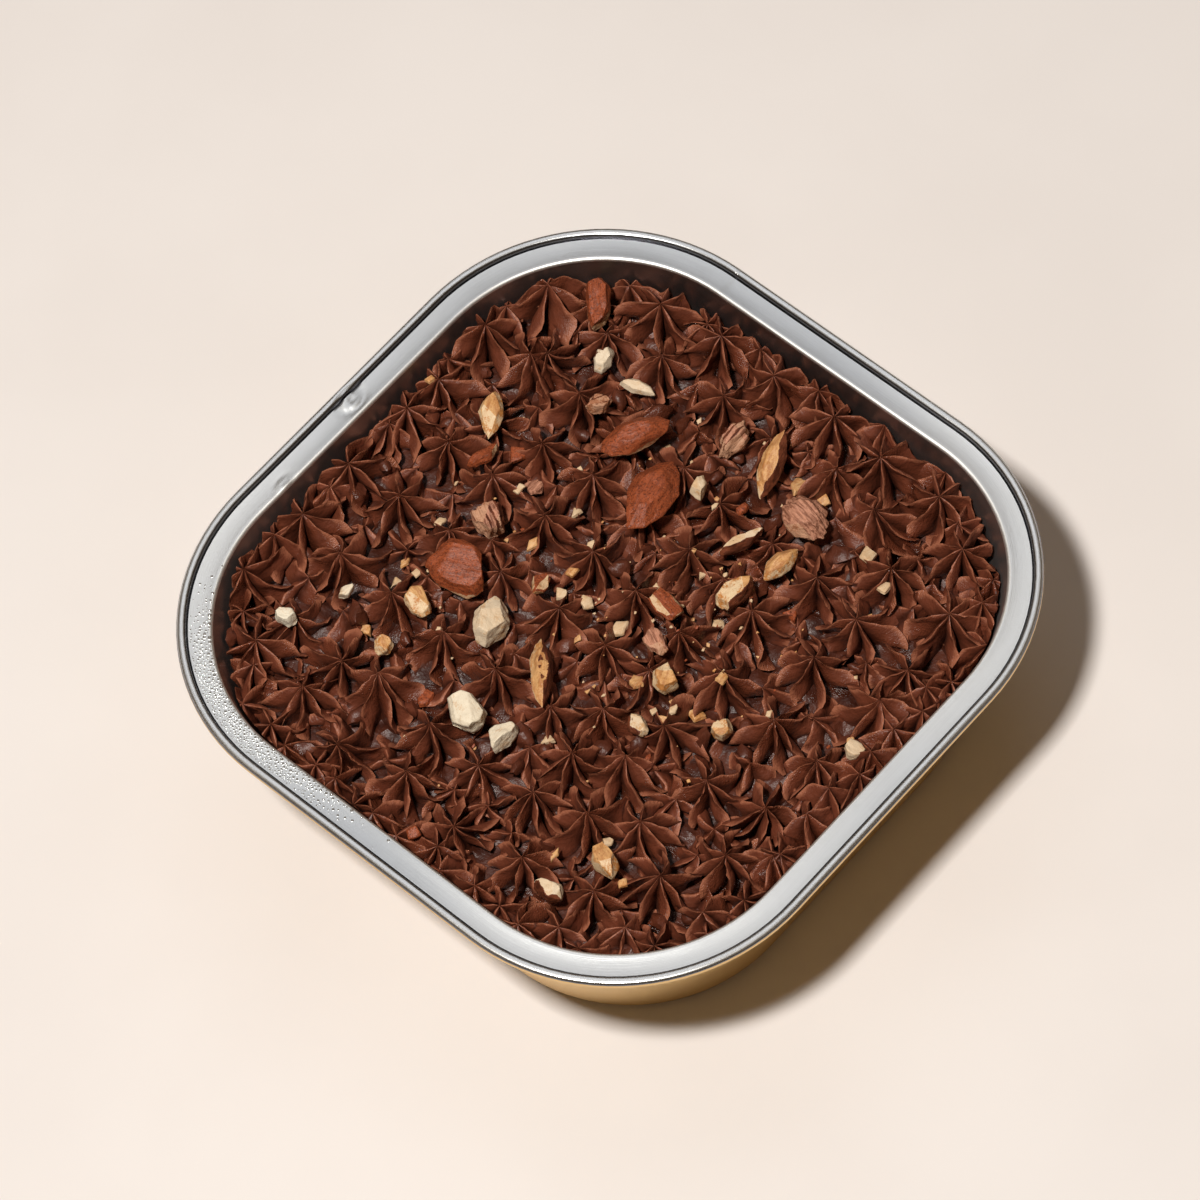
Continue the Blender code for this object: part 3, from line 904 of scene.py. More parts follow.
@dataclass
class Moisture:
    """Fine droplets on the inner part of the flange, along one corner of the tin."""

    form: TinForm = field(default_factory=TinForm)
    count: int = 640
    tries: int = 60000
    sides: int = 12
    levels: tuple[int, ...] = (0, 28, 52, 74)
    size: tuple[float, float] = (0.12, 0.36)
    size_by_lip: float = 1.1
    size_fall: float = 0.6
    crowding: float = 2.0
    corner: tuple[float, float] = (150.0, 8.0)
    sunk: float = 0.06
    seed: int = 5

    def build(self) -> bpy.types.Object:
        """Scatter the droplets as one piece."""
        draw = random.Random(self.seed)
        placed: list[tuple[float, float, float]] = []
        for _ in range(self.tries):
            if len(placed) == self.count:
                break
            inward = draw.random() ** self.crowding
            wide = self.form.flange_width - 2 * self.form.lip
            half = self.form.mouth_half + self.form.lip + inward * wide
            angle = math.radians(draw.gauss(*self.corner))
            x, y = self._on_rim(half, angle)
            radius = draw.uniform(*self.size) * (self.size_by_lip - self.size_fall * inward)
            if all(math.dist((x, y), other[:2]) > radius + other[2] for other in placed):
                placed.append((x, y, radius))
        points: list[Point] = []
        faces: list[Face] = []
        for x, y, radius in placed:
            dome, sides = self._dome(x, y, radius)
            faces.extend(tuple(i + len(points) for i in face) for face in sides)
            points.extend(dome)
        mesh = new_mesh("tin_droplets", points, faces)
        mesh.materials.append(MoistureFinish().material())
        mesh.shade_smooth()
        return new_piece("tin_droplets", mesh, "foil")

    def _on_rim(self, half: float, angle: float) -> tuple[float, float]:
        """Where a ray from the middle crosses the round-cornered square of this half side.

        Args:
            half: half side of the square.
            angle: the ray's direction in radians.

        Returns:
            The crossing's x and y.
        """
        centre = self.form.rim_corner_centre
        way = Vector((math.cos(angle), math.sin(angle)))
        if abs(way.y) * half <= centre * abs(way.x):
            reach = half / abs(way.x)
        elif abs(way.x) * half <= centre * abs(way.y):
            reach = half / abs(way.y)
        else:
            corner = centre * (abs(way.x) + abs(way.y))
            reach = corner + math.sqrt(corner ** 2 - 2 * centre ** 2 + (half - centre) ** 2)
        return way.x * reach, way.y * reach

    def _dome(self, x: float, y: float, radius: float) -> tuple[list[Point], list[Face]]:
        """Points and faces of one droplet, a closed cap standing on the flange.

        Args:
            x: the place along x.
            y: the place along y.
            radius: its radius.

        Returns:
            The points and the faces.
        """
        rings = []
        for degrees in self.levels:
            angle = math.radians(degrees)
            z = self.form.flange_top - self.sunk + radius * math.sin(angle)
            across = radius * math.cos(angle)
            ring = []
            for i in range(self.sides):
                turn = math.tau * i / self.sides
                ring.append((x + across * math.cos(turn), y + across * math.sin(turn), z))
            rings.append(ring)
        return loft(rings)


# The almond pieces: finish, cut, place (x, y), length, width, height, turn in degrees

ALMONDS = (
    ("skin", "chunk", (-10.8, 25.0), 13.5, 11.0, 3.6, 115),
    ("toasted", "chunk", (-20.5, 27.0), 8.5, 5.0, 2.6, 75),
    ("cream", "chunk", (-16.0, 14.6), 10.5, 7.6, 4.2, 30),
    ("cream", "chunk", (-32.2, 5.4), 9.6, 8.0, 4.4, 60),
    ("cream", "chunk", (-31.4, -2.6), 8.8, 5.0, 3.6, 8),
    ("toasted", "half", (-18.0, 0.4), 14.5, 4.8, 3.6, 42),
    ("striped", "chunk", (-0.4, 28.0), 8.6, 6.4, 4.0, 65),
    ("toasted", "sliver", (15.9, 41.8), 11.0, 5.0, 2.6, 35),
    ("skin", "flake", (8.2, 37.1), 7.6, 2.8, 1.6, -5),
    ("skin", "chunk", (44.7, 42.0), 12.5, 5.6, 4.0, 42),
    ("cream", "chunk", (37.2, 34.2), 6.8, 4.2, 3.4, 15),
    ("striped", "chunk", (28.7, 28.0), 5.8, 3.8, 2.4, -35),
    ("cream", "sliver", (36.8, 25.9), 9.2, 2.8, 2.0, 105),
    ("skin", "half", (28.0, 18.4), 14.0, 7.4, 3.6, -25),
    ("skin", "half", (20.4, 8.2), 16.5, 10.0, 4.4, 12),
    ("cream", "chunk", (27.2, 2.4), 5.6, 3.6, 2.4, 40),
    ("striped", "chunk", (39.6, 4.6), 9.2, 4.6, 3.4, 0),
    ("toasted", "half", (39.4, -3.4), 13.5, 5.0, 2.8, 20),
    ("toasted", "chunk", (15.2, -16.2), 9.4, 5.4, 3.0, -8),
    ("toasted", "half", (24.8, -17.6), 9.0, 4.4, 3.0, -8),
    ("striped", "half", (34.2, -15.4), 10.2, 9.0, 4.4, 80),
    ("cream", "sliver", (24.0, -10.3), 9.6, 3.2, 2.4, -28),
    ("skin", "flake", (5.4, -8.0), 8.8, 4.6, 1.3, 80),
    ("striped", "flake", (-0.8, -11.6), 6.8, 4.6, 2.0, 65),
    ("cream", "sliver", (-15.0, -19.8), 6.4, 4.0, 2.0, 70),
    ("toasted", "chunk", (-5.6, -17.4), 6.6, 5.0, 3.0, 30),
    ("toasted", "chunk", (-6.3, -31.0), 5.2, 3.8, 3.0, -20),
    ("cream", "chunk", (-48.0, -29.0), 7.2, 4.4, 3.0, 105),
    ("toasted", "chunk", (-39.0, -32.6), 10.4, 4.8, 3.6, 65),
    ("cream", "chunk", (4.7, -51.0), 5.0, 3.8, 2.4, 100),
    ("toasted", "chunk", (-30.6, 26.0), 5.4, 4.2, 2.2, 60),
    ("cream", "chunk", (-37.6, 42.3), 5.8, 3.2, 3.0, 115),
    ("cream", "chunk", (-26.6, 38.3), 4.8, 2.4, 2.2, 0),
    ("skin", "flake", (-4.3, 12.6), 5.2, 4.0, 1.5, 20),
)


# By number in the list above: how blanched a piece is, and the side where skin clings to it, in degrees

PALE = {3: 0.3, 4: 0.75, 5: 0.7, 11: 0.5, 13: 0.3, 28: 0.2, 32: 1.0, 33: 0.6}
RIND = {7: -90, 11: 30, 12: 90, 17: 90, 18: -90, 22: -90, 6: -90, 19: -90, 25: 90, 28: 90}


# The frosting

# Height of the stars' tips, in millimetres
STAR_TOP = 37.6


@dataclass(frozen=True)
class Star:
    """One star: its place, tip height, reach, turn, twist, lean, number of fins and how its crests fall."""

    x: float
    y: float
    top: float
    reach: float
    turn: float
    twist: float
    lean_x: float
    lean_y: float
    fins: int
    fall: float


@dataclass(frozen=True)
class Fin:
    """One fin of a star: how far it reaches, how its crest falls and bends, and how its foot tucks in."""

    number: int
    reach: float
    start: float
    bulge: float
    bend: float
    shift: float
    tuck: float
    phase: float


@dataclass(frozen=True)
class StarRows:
    """Where the stars stand: piped rows, and low stars squeezed up by the wall and in the gaps.

    A row is its first place, its last place, its number of stars and how far it bows out along x.
    """

    form: TinForm = field(default_factory=TinForm)
    rows: tuple = (
        ((-45.0, 43.5), (-45.0, -34.0), 7, -3.5),
        ((-35.0, 53.5), (-34.0, -25.0), 8, -3.7),
        ((-21.0, 54.0), (-22.0, -5.5), 6, -1.5),
        ((-16.5, -13.0), (-36.0, -42.0), 4, 0.0),
        ((-7.5, 55.0), (-7.0, -5.5), 6, 0.0),
        ((-11.5, -24.0), (-24.5, -48.5), 3, 2.5),
        ((6.0, 55.5), (-1.5, -49.0), 10, 2.8),
        ((15.0, 54.0), (16.5, -3.5), 6, 2.0),
        ((14.5, -21.5), (12.5, -49.0), 3, 0.0),
        ((27.5, 54.5), (22.5, -48.0), 10, 4.0),
        ((39.0, 51.0), (43.5, -26.5), 7, 3.0),
        ((51.5, 33.0), (52.0, -32.5), 6, 1.5),
        ((46.5, -41.0), (34.0, -48.5), 2, 0.0),
        ((-27.0, -15.0), (-5.5, -15.0), 2, 0.0),
        ((32.5, 42.5), (46.0, 43.5), 2, 0.0),
        ((15.5, -12.5), (35.0, -34.0), 2, 0.0),
        ((-14.5, -45.0), (-14.5, -45.0), 1, 0.0),
    )
    fins: int = 8
    reach: float = 9.0
    reach_spread: tuple[float, float] = (0.90, 1.07)
    top_spread: tuple[float, float] = (-0.9, 0.7)
    shift: float = 0.6
    twist: float = 0.15
    lean: float = 0.8
    pressed: float = 2.0
    pressed_round: float = 1.5
    wall_zone: float = 9.0
    wall_stretch: float = 1.16
    wall_fall: float = 0.55
    seed: int = 10
    low_count: int = 75
    low_tries: int = 30000
    low_spacing: float = 7.4
    low_closing: float = 2.6
    low_field: float = 58.0
    low_margin: float = 2.6
    low_top: tuple[float, float] = (32.2, 34.4)
    low_reach: tuple[float, float] = (5.2, 7.4)
    low_fins: tuple[int, ...] = (3, 4, 5)
    low_twist: float = 0.5
    low_lean: float = 2.4
    low_seed: int = 14
    edge_zone: float = 7.0
    edge_inset: float = 3.0
    edge_spacing: float = 5.4
    edge_top: tuple[float, float] = (35.4, 37.2)
    edge_reach: tuple[float, float] = (6.8, 8.2)
    edge_fins: tuple[int, ...] = (5, 6, 7)

    def covered(self, x: float, y: float) -> bool:
        """Whether a large almond piece lies over this place and presses the star down.

        Args:
            x: the place along x.
            y: the place along y.

        Returns:
            True if one does.
        """
        for _finish, _cut, place, length, width, _height, degrees in ALMONDS:
            away = Matrix.Rotation(-math.radians(degrees), 2) @ Vector((x - place[0], y - place[1]))
            along = away.x / (length / 2 + self.pressed_round)
            across = away.y / (width / 2 + self.pressed_round)
            if along ** 2 + across ** 2 < 1:
                return True
        return False

    def places(self) -> Iterator[tuple[float, float]]:
        """Even places along the rows."""
        for first, last, count, bow in self.rows:
            for i in range(count):
                share = i / max(count - 1, 1)
                x = first[0] + share * (last[0] - first[0]) + bow * math.sin(math.pi * share)
                yield x, first[1] + share * (last[1] - first[1])

    def stars(self) -> list[Star]:
        """Every star of the rows, each a little uneven."""
        draw = random.Random(self.seed)
        return [self._star(x, y, draw) for x, y in self.places()]

    def _star(self, x: float, y: float, draw: random.Random) -> Star:
        """One star near a place, lower under an almond piece and fuller by the wall.

        Args:
            x: the place along x.
            y: the place along y.
            draw: source of what varies.

        Returns:
            The star.
        """
        x += draw.uniform(-self.shift, self.shift)
        y += draw.uniform(-self.shift, self.shift)
        top = STAR_TOP + draw.uniform(*self.top_spread)
        reach = self.reach * draw.uniform(*self.reach_spread)
        turn = draw.uniform(0, math.tau / self.fins)
        twist = draw.uniform(-self.twist, self.twist)
        lean_x = draw.uniform(-self.lean, self.lean)
        lean_y = draw.uniform(-self.lean, self.lean)
        fall = 1.0
        if self.covered(x, y):
            top -= self.pressed
        if self.form.near_wall(x, y, STAR_TOP, self.wall_zone):
            reach *= self.wall_stretch
            fall = self.wall_fall
        return Star(x, y, top, reach, turn, twist, lean_x, lean_y, self.fins, fall)

    def low_stars(self, stars: list[Star]) -> Iterator[Star]:
        """Low and leaning stars, first along the wall and then in the gaps between the others.

        Args:
            stars: the stars of the rows.

        Returns:
            The low stars.
        """
        draw = random.Random(self.low_seed)
        placed = [(star.x, star.y) for star in stars]
        half, centre = self.form.wall(STAR_TOP)
        for x, y, _z in self.form.outline(half - self.edge_inset, centre, 0, self.form.side_steps):
            if all(math.dist((x, y), other) > self.edge_spacing for other in placed):
                placed.append((x, y))
                yield self._low_star(x, y, draw)
        full = len(placed) + self.low_count
        for tries in range(self.low_tries):
            spacing = self.low_spacing - self.low_closing * tries / self.low_tries
            x = draw.uniform(-self.low_field, self.low_field)
            y = draw.uniform(-self.low_field, self.low_field)
            if len(placed) >= full or self.form.near_wall(x, y, STAR_TOP, self.low_margin):
                continue
            if any(math.dist((x, y), other) < spacing for other in placed):
                continue
            placed.append((x, y))
            yield self._low_star(x, y, draw)

    def _low_star(self, x: float, y: float, draw: random.Random) -> Star:
        """One low star, taller and wider where it stands by the wall.

        Args:
            x: the place along x.
            y: the place along y.
            draw: source of what varies.

        Returns:
            The star.
        """
        top, reach, fins, fall = self.low_top, self.low_reach, self.low_fins, 1.0
        if self.form.near_wall(x, y, STAR_TOP, self.edge_zone):
            top, reach, fins, fall = self.edge_top, self.edge_reach, self.edge_fins, self.wall_fall
        return Star(
            x, y, top=draw.uniform(*top), reach=draw.uniform(*reach), turn=draw.uniform(0, math.tau),
            twist=draw.uniform(-self.low_twist, self.low_twist),
            lean_x=draw.uniform(-self.low_lean, self.low_lean),
            lean_y=draw.uniform(-self.low_lean, self.low_lean), fins=draw.choice(fins), fall=fall)


@dataclass(frozen=True)
class Piping:
    """How a star of frosting is shaped: thin fins that sway, bend and fray, with deep valleys between."""

    form: TinForm = field(default_factory=TinForm)
    foot: float = 29.0
    foot_inset: float = 0.7
    # The tip counts as crest, so it takes the paler crest colour, partly painted highlight
    tip_ridge: float = 0.9
    tip_crowding: float = 1.4
    crest_crowding: float = 1.35
    crest_power: float = 1.7
    valley: float = 0.26
    valley_power: float = 0.7
    full_depth: float = 0.80
    tuck_from: float = 0.5
    fin_reach: tuple[float, float] = (0.82, 1.04)
    fin_bulge: tuple[float, float] = (0.80, 1.15)
    fin_tuck: tuple[float, float] = (0.05, 0.38)
    fin_start: float = 0.10
    fin_drift: float = 0.42
    fin_swing: float = 0.40
    fin_jitter: float = 0.16
    fin_shift: float = 0.12
    bend_power: float = 0.8
    wave: float = 0.15
    wave_rate: float = 9.0
    steady_rate: float = 3.0
    sway: tuple[float, float] = (0.30, 0.42)
    uneven: tuple[float, float, float] = (1.3, 0.10, 0.20)
    fray: tuple[float, float] = (2.7, 0.13)

    def fins_of(self, count: int, draw: random.Random) -> list[Fin]:
        """The fins of one star, which all sway one way and some more than others.

        Args:
            count: how many there are.
            draw: source of what varies.

        Returns:
            The fins.
        """
        drift = draw.uniform(-self.fin_drift, self.fin_drift)
        swing = draw.uniform(0, self.fin_swing)
        start = draw.uniform(0, math.tau)
        fins = []
        for number in range(count):
            bend = drift + swing * math.sin(start + number * math.tau / count)
            bend += draw.uniform(-self.fin_jitter, self.fin_jitter)
            fins.append(Fin(
                number, reach=draw.uniform(*self.fin_reach), start=self.fin_start * draw.random() ** 2,
                bulge=draw.uniform(*self.fin_bulge), bend=bend,
                shift=draw.uniform(-self.fin_shift, self.fin_shift),
                tuck=draw.uniform(*self.fin_tuck), phase=draw.uniform(0, math.tau)))
        return fins

    def skin(self, star: Star, gap: float, detail: tuple[int, int], draw: random.Random) -> Solid:
        """Fine surface of one star.

        Args:
            star: the star.
            gap: how far it stays clear of the tin's wall.
            detail: rings from tip to foot, and points to a fin.
            draw: source of what varies from fin to fin.

        Returns:
            Points, faces and how near each point is to the crest of a fin.
        """
        fins = self.fins_of(star.fins, draw)
        points: list[Point] = [self.form.inside(star.x + star.lean_x, star.y + star.lean_y, star.top, gap)]
        ridge = [self.tip_ridge]
        levels, fin_points = detail
        count = star.fins * fin_points
        for level in range(1, levels + 1):
            depth = (level / levels) ** self.tip_crowding
            for i in range(count):
                number, step = divmod(i, fin_points)
                side = 2 * step / fin_points - 1
                side = math.copysign(abs(side) ** self.crest_crowding, side)
                blade = (1 - abs(side)) ** self.crest_power
                place = self._place(star, fins[number], depth, side, blade)
                points.append(self.form.inside(*place, gap + self.foot_inset * depth))
                ridge.append(blade)
        faces: list[Face] = [(0, 1 + i, 1 + (i + 1) % count) for i in range(count)]
        for level in range(levels - 1):
            faces.extend(band(1 + level * count, 1 + (level + 1) * count, count))
        faces.append(tuple(range(len(points) - count, len(points))))
        return points, faces, ridge

    def _place(self, star: Star, fin: Fin, depth: float, side: float, blade: float) -> Vector:
        """Place of one point of a star.

        Args:
            star: the star.
            fin: the fin it belongs to.
            depth: how low it is, 0 at the tip and 1 at the foot.
            side: how far it is across the fin, from -1 to 1.
            blade: how near it is to the fin's crest, from 0 to 1.

        Returns:
            The place.
        """
        low = star.reach * self.valley * depth ** self.valley_power
        risen = max(0.0, depth - fin.start) / (self.full_depth - fin.start)
        full = math.sin(math.pi / 2 * min(1.0, risen)) ** (fin.bulge * star.fall)
        crest = star.reach * fin.reach * full * (1 - fin.tuck * smooth_step(depth, self.tuck_from, 1.0))
        across = low + (crest - low) * blade
        steady = min(1.0, self.steady_rate * depth)
        angle = star.turn + (fin.number + side / 2) * math.tau / star.fins + star.twist * (1 - depth)
        wave = self.wave * math.sin(fin.phase + self.wave_rate * depth)
        angle += (fin.shift + fin.bend * depth ** self.bend_power + wave * steady) * blade
        x = star.x + star.lean_x * (1 - depth) + across * math.cos(angle)
        y = star.y + star.lean_y * (1 - depth) + across * math.sin(angle)
        place = Vector((x, y, star.top + depth * (self.foot - star.top)))
        place += wobble(place, self.sway[0], self.sway[1] * steady)
        place += wobble(place, self.uneven[0], self.uneven[1] + self.uneven[2] * blade)
        place += wobble(place, self.fray[0], self.fray[1] * blade * blade)
        return place


@dataclass(frozen=True)
class Lumps:
    """Rounded lumps of frosting that were squeezed up between the stars."""

    form: TinForm = field(default_factory=TinForm)
    count: int = 60
    tries: int = 20000
    field_half: float = 56.0
    wall_clear: float = 1.5
    star_clear: float = 5.2
    spacing: float = 4.0
    size: tuple[float, float] = (1.2, 2.2)
    middle: tuple[float, float] = (31.0, 33.4)
    stretch: tuple[tuple[float, float], ...] = ((0.9, 1.35), (0.6, 0.85), (0.8, 1.1))
    dent_scale: float = 1.2
    dent: float = 0.60
    dent_apart: float = 90.0
    grain: tuple[float, float] = (2.0, 0.06)
    skin_gap: float = 0.2
    # Crest value of the lumps, which sets how much painted valley shade their colour takes
    ridge: float = 0.25
    seed: int = 12

    def build(self, stars: list[Star]) -> Iterator[Solid]:
        """Lumps in the gaps between these stars.

        Args:
            stars: the stars of the rows.

        Returns:
            The lumps.
        """
        draw = random.Random(self.seed)
        placed: list[tuple[float, float]] = []
        for _ in range(self.tries):
            if len(placed) == self.count:
                break
            x = draw.uniform(-self.field_half, self.field_half)
            y = draw.uniform(-self.field_half, self.field_half)
            if self.form.near_wall(x, y, STAR_TOP, self.wall_clear):
                continue
            near = min(math.dist((x, y), (star.x, star.y)) for star in stars)
            if near < self.star_clear or any(math.dist((x, y), other) < self.spacing for other in placed):
                continue
            placed.append((x, y))
            size = draw.uniform(*self.size)
            yield self._lump(Vector((x, y, draw.uniform(*self.middle))), size, draw)

    def _lump(self, middle: Vector, size: float, draw: random.Random) -> Solid:
        """One uneven lump round its middle.

        Args:
            middle: its middle.
            size: its radius before it is stretched.
            draw: source of what varies.

        Returns:
            The lump.
        """
        ball = bmesh.new()
        bmesh.ops.create_icosphere(ball, subdivisions=2, radius=1.0)
        turn = Matrix.Rotation(draw.uniform(0, math.tau), 3, "Z")
        stretch = Vector([size * draw.uniform(*shares) for shares in self.stretch])
        start = Vector((*(draw.uniform(-self.dent_apart, self.dent_apart) for _ in range(2)), 0))
        points = []
        for corner in ball.verts:
            place = corner.co * (1 + self.dent * noise.noise(corner.co * self.dent_scale + start))
            place = turn @ Vector(a * b for a, b in zip(place, stretch)) + middle
            place += wobble(place, *self.grain)
            points.append(self.form.inside(*place, self.form.gap + self.skin_gap))
        faces = [tuple(corner.index for corner in face.verts) for face in ball.faces]
        ball.free()
        return points, faces, [self.ridge] * len(points)


@dataclass(frozen=True)
class CakeBody:
    """The cake under its frosting, up to the uneven bed that the stars stand on."""

    form: TinForm = field(default_factory=TinForm)
    bed_height: float = 30.0
    bed_edge: float = 2.0
    bed_rings: int = 34
    side_steps: int = 20
    relief: float = 1.5
    relief_waves: tuple[tuple[float, float], ...] = ((0.26, 1.0), (0.6, 0.7), (1.4, 0.3))
    relief_fade: float = 5.0

    def build(self) -> Solid:
        """Points, faces and `ridge` values of the body, which has no crests."""
        form = self.form
        floor = form.foil + form.gap
        foot = form.base_side / 2 - form.foil - form.gap
        radius = form.base_edge - form.foil - form.gap
        rings = []
        for degrees in range(0, 91, ARC_STEP):
            angle = math.radians(degrees)
            across = foot - radius * (1 - math.sin(angle))
            z = floor + radius * (1 - math.cos(angle))
            rings.append(form.outline(across, form.base_corner_centre, z, self.side_steps))
        low = self.bed_height - self.bed_edge
        low_half, low_centre = form.wall(low)
        rings.append(form.outline(low_half - form.gap, low_centre, low, self.side_steps))
        half, centre = form.wall(self.bed_height)
        half -= form.gap + self.bed_edge / 2
        for step in range(self.bed_rings):
            share = 1 - step / self.bed_rings
            fade = min(1.0, self.relief_fade - self.relief_fade * share)
            outline = form.outline(half * share, centre * share, self.bed_height, self.side_steps)
            rings.append([(x, y, z + self.relief * self._rise(x, y) * fade) for x, y, z in outline])
        points, faces = loft(rings)
        # A crest value of 0 gives the whole bed the painted valley shade
        return points, faces, [0.0] * len(points)

    def _rise(self, x: float, y: float) -> float:
        """Unevenness of the bed at this place, as a share of its relief."""
        place = Vector((x, y, 0))
        return sum(share * noise.noise(place * scale) for scale, share in self.relief_waves)


@dataclass(frozen=True)
class Frosting:
    """The frosted cake in place of its solid: the body and stars as one skin, the low stars as another."""

    form: TinForm = field(default_factory=TinForm)
    rows: StarRows = field(default_factory=StarRows)
    piping: Piping = field(default_factory=Piping)
    lumps: Lumps = field(default_factory=Lumps)
    body: CakeBody = field(default_factory=CakeBody)
    wall_spread: tuple[float, float] = (0.1, 0.5)
    smeared_share: float = 0.22
    smear: float = 2.2
    smear_twist: float = 4.0
    star_detail: tuple[int, int] = (14, 10)
    low_detail: tuple[int, int] = (11, 12)
    sharp_from: float = 55.0
    wall_seed: int = 11
    skin_seed: int = 13

    def build(self) -> list[bpy.types.Object]:
        """Build the body with its stars, and the low stars with the lumps."""
        walls = random.Random(self.wall_seed)
        draw = random.Random(self.skin_seed)
        stars = self.rows.stars()
        high = []
        for star in stars:
            gap = self.form.gap + walls.uniform(*self.wall_spread)
            if draw.random() < self.smeared_share:
                star = self._smeared(star, draw.uniform(0, math.tau))
            high.append(self.piping.skin(star, gap, self.star_detail, draw))
        gap = self.form.gap + self.wall_spread[0]
        low = [self.piping.skin(star, gap, self.low_detail, draw) for star in self.rows.low_stars(stars)]
        low.extend(self.lumps.build(stars))
        material = FrostingFinish().material()
        return [
            self._joined("frosting_stars", self.body.build(), high, material),
            self._joined("frosting_folds", low[0], low[1:], material),
        ]

    def _smeared(self, star: Star, side: float) -> Star:
        """The star dragged towards one side and twisted more."""
        return replace(
            star, lean_x=star.lean_x + self.smear * math.cos(side),
            lean_y=star.lean_y + self.smear * math.sin(side), twist=self.smear_twist * star.twist)

    def _joined(self, name: str, first: Solid, others: list[Solid],
                material: bpy.types.Material) -> bpy.types.Object:
        """Piece made of solids joined by a union.

        Args:
            name: its name.
            first: the solid that the others are joined to.
            others: the other solids.
            material: its material.

        Returns:
            The piece.
        """
        piping = bpy.data.collections.new("piping")
        bpy.context.scene.collection.children.link(piping)
        for solid in others:
            piping.objects.link(bpy.data.objects.new("solid", self._solid(*solid)))
        start = bpy.data.objects.new("start", self._solid(*first))
        bpy.context.scene.collection.objects.link(start)
        union = start.modifiers.new("piping", "BOOLEAN")
        union.operation = "UNION"
        union.operand_type = "COLLECTION"
        union.collection = piping
        union.solver = "MANIFOLD"
        mesh = bpy.data.meshes.new_from_object(start.evaluated_get(bpy.context.evaluated_depsgraph_get()))
        for solid in [*piping.objects, start]:
            bpy.data.objects.remove(solid)
        bpy.data.collections.remove(piping)
        shape = bmesh.new()
        shape.from_mesh(mesh)
        drop_flaps(shape)
        shape.to_mesh(mesh)
        shape.free()
        mesh.materials.clear()
        mesh.materials.append(material)
        mesh.shade_smooth()
        mesh.set_sharp_from_angle(angle=math.radians(self.sharp_from))
        return new_piece(name, mesh, "frosting", "cake")

    @staticmethod
    def _solid(points: list[Point], faces: list[Face], ridge: list[float]) -> bpy.types.Mesh:
        """Triangulated closed mesh with its `ridge` values.

        Args:
            points: its points.
            faces: its faces.
            ridge: a value for each point.

        Returns:
            The mesh.
        """
        mesh = bpy.data.meshes.new("solid")
        mesh.from_pydata([Vector(point) * MM for point in points], [], faces)
        write_attribute(mesh, "ridge", np.array(ridge))
        shape = bmesh.new()
        shape.from_mesh(mesh)
        bmesh.ops.recalc_face_normals(shape, faces=shape.faces[:])
        bmesh.ops.triangulate(shape, faces=shape.faces[:])
        shape.to_mesh(mesh)
        shape.free()
        return mesh


# The almonds

class Cut(Enum):
    """How a piece was chopped: rounds of smoothing, how ragged it is in millimetres, and number of chops."""

    HALF = (2, 0.16, 1)
    CHUNK = (0, 0.20, 6)
    SLIVER = (0, 0.16, 4)
    FLAKE = (0, 0.24, 4)

    @property
    def smoothing(self) -> int:
        """Rounds of smoothing."""
        return self.value[0]

    @property
    def ragged(self) -> float:
        """Unevenness in millimetres."""
        return self.value[1]

    @property
    def chops(self) -> int:
        """Number of chops."""
        return self.value[2]


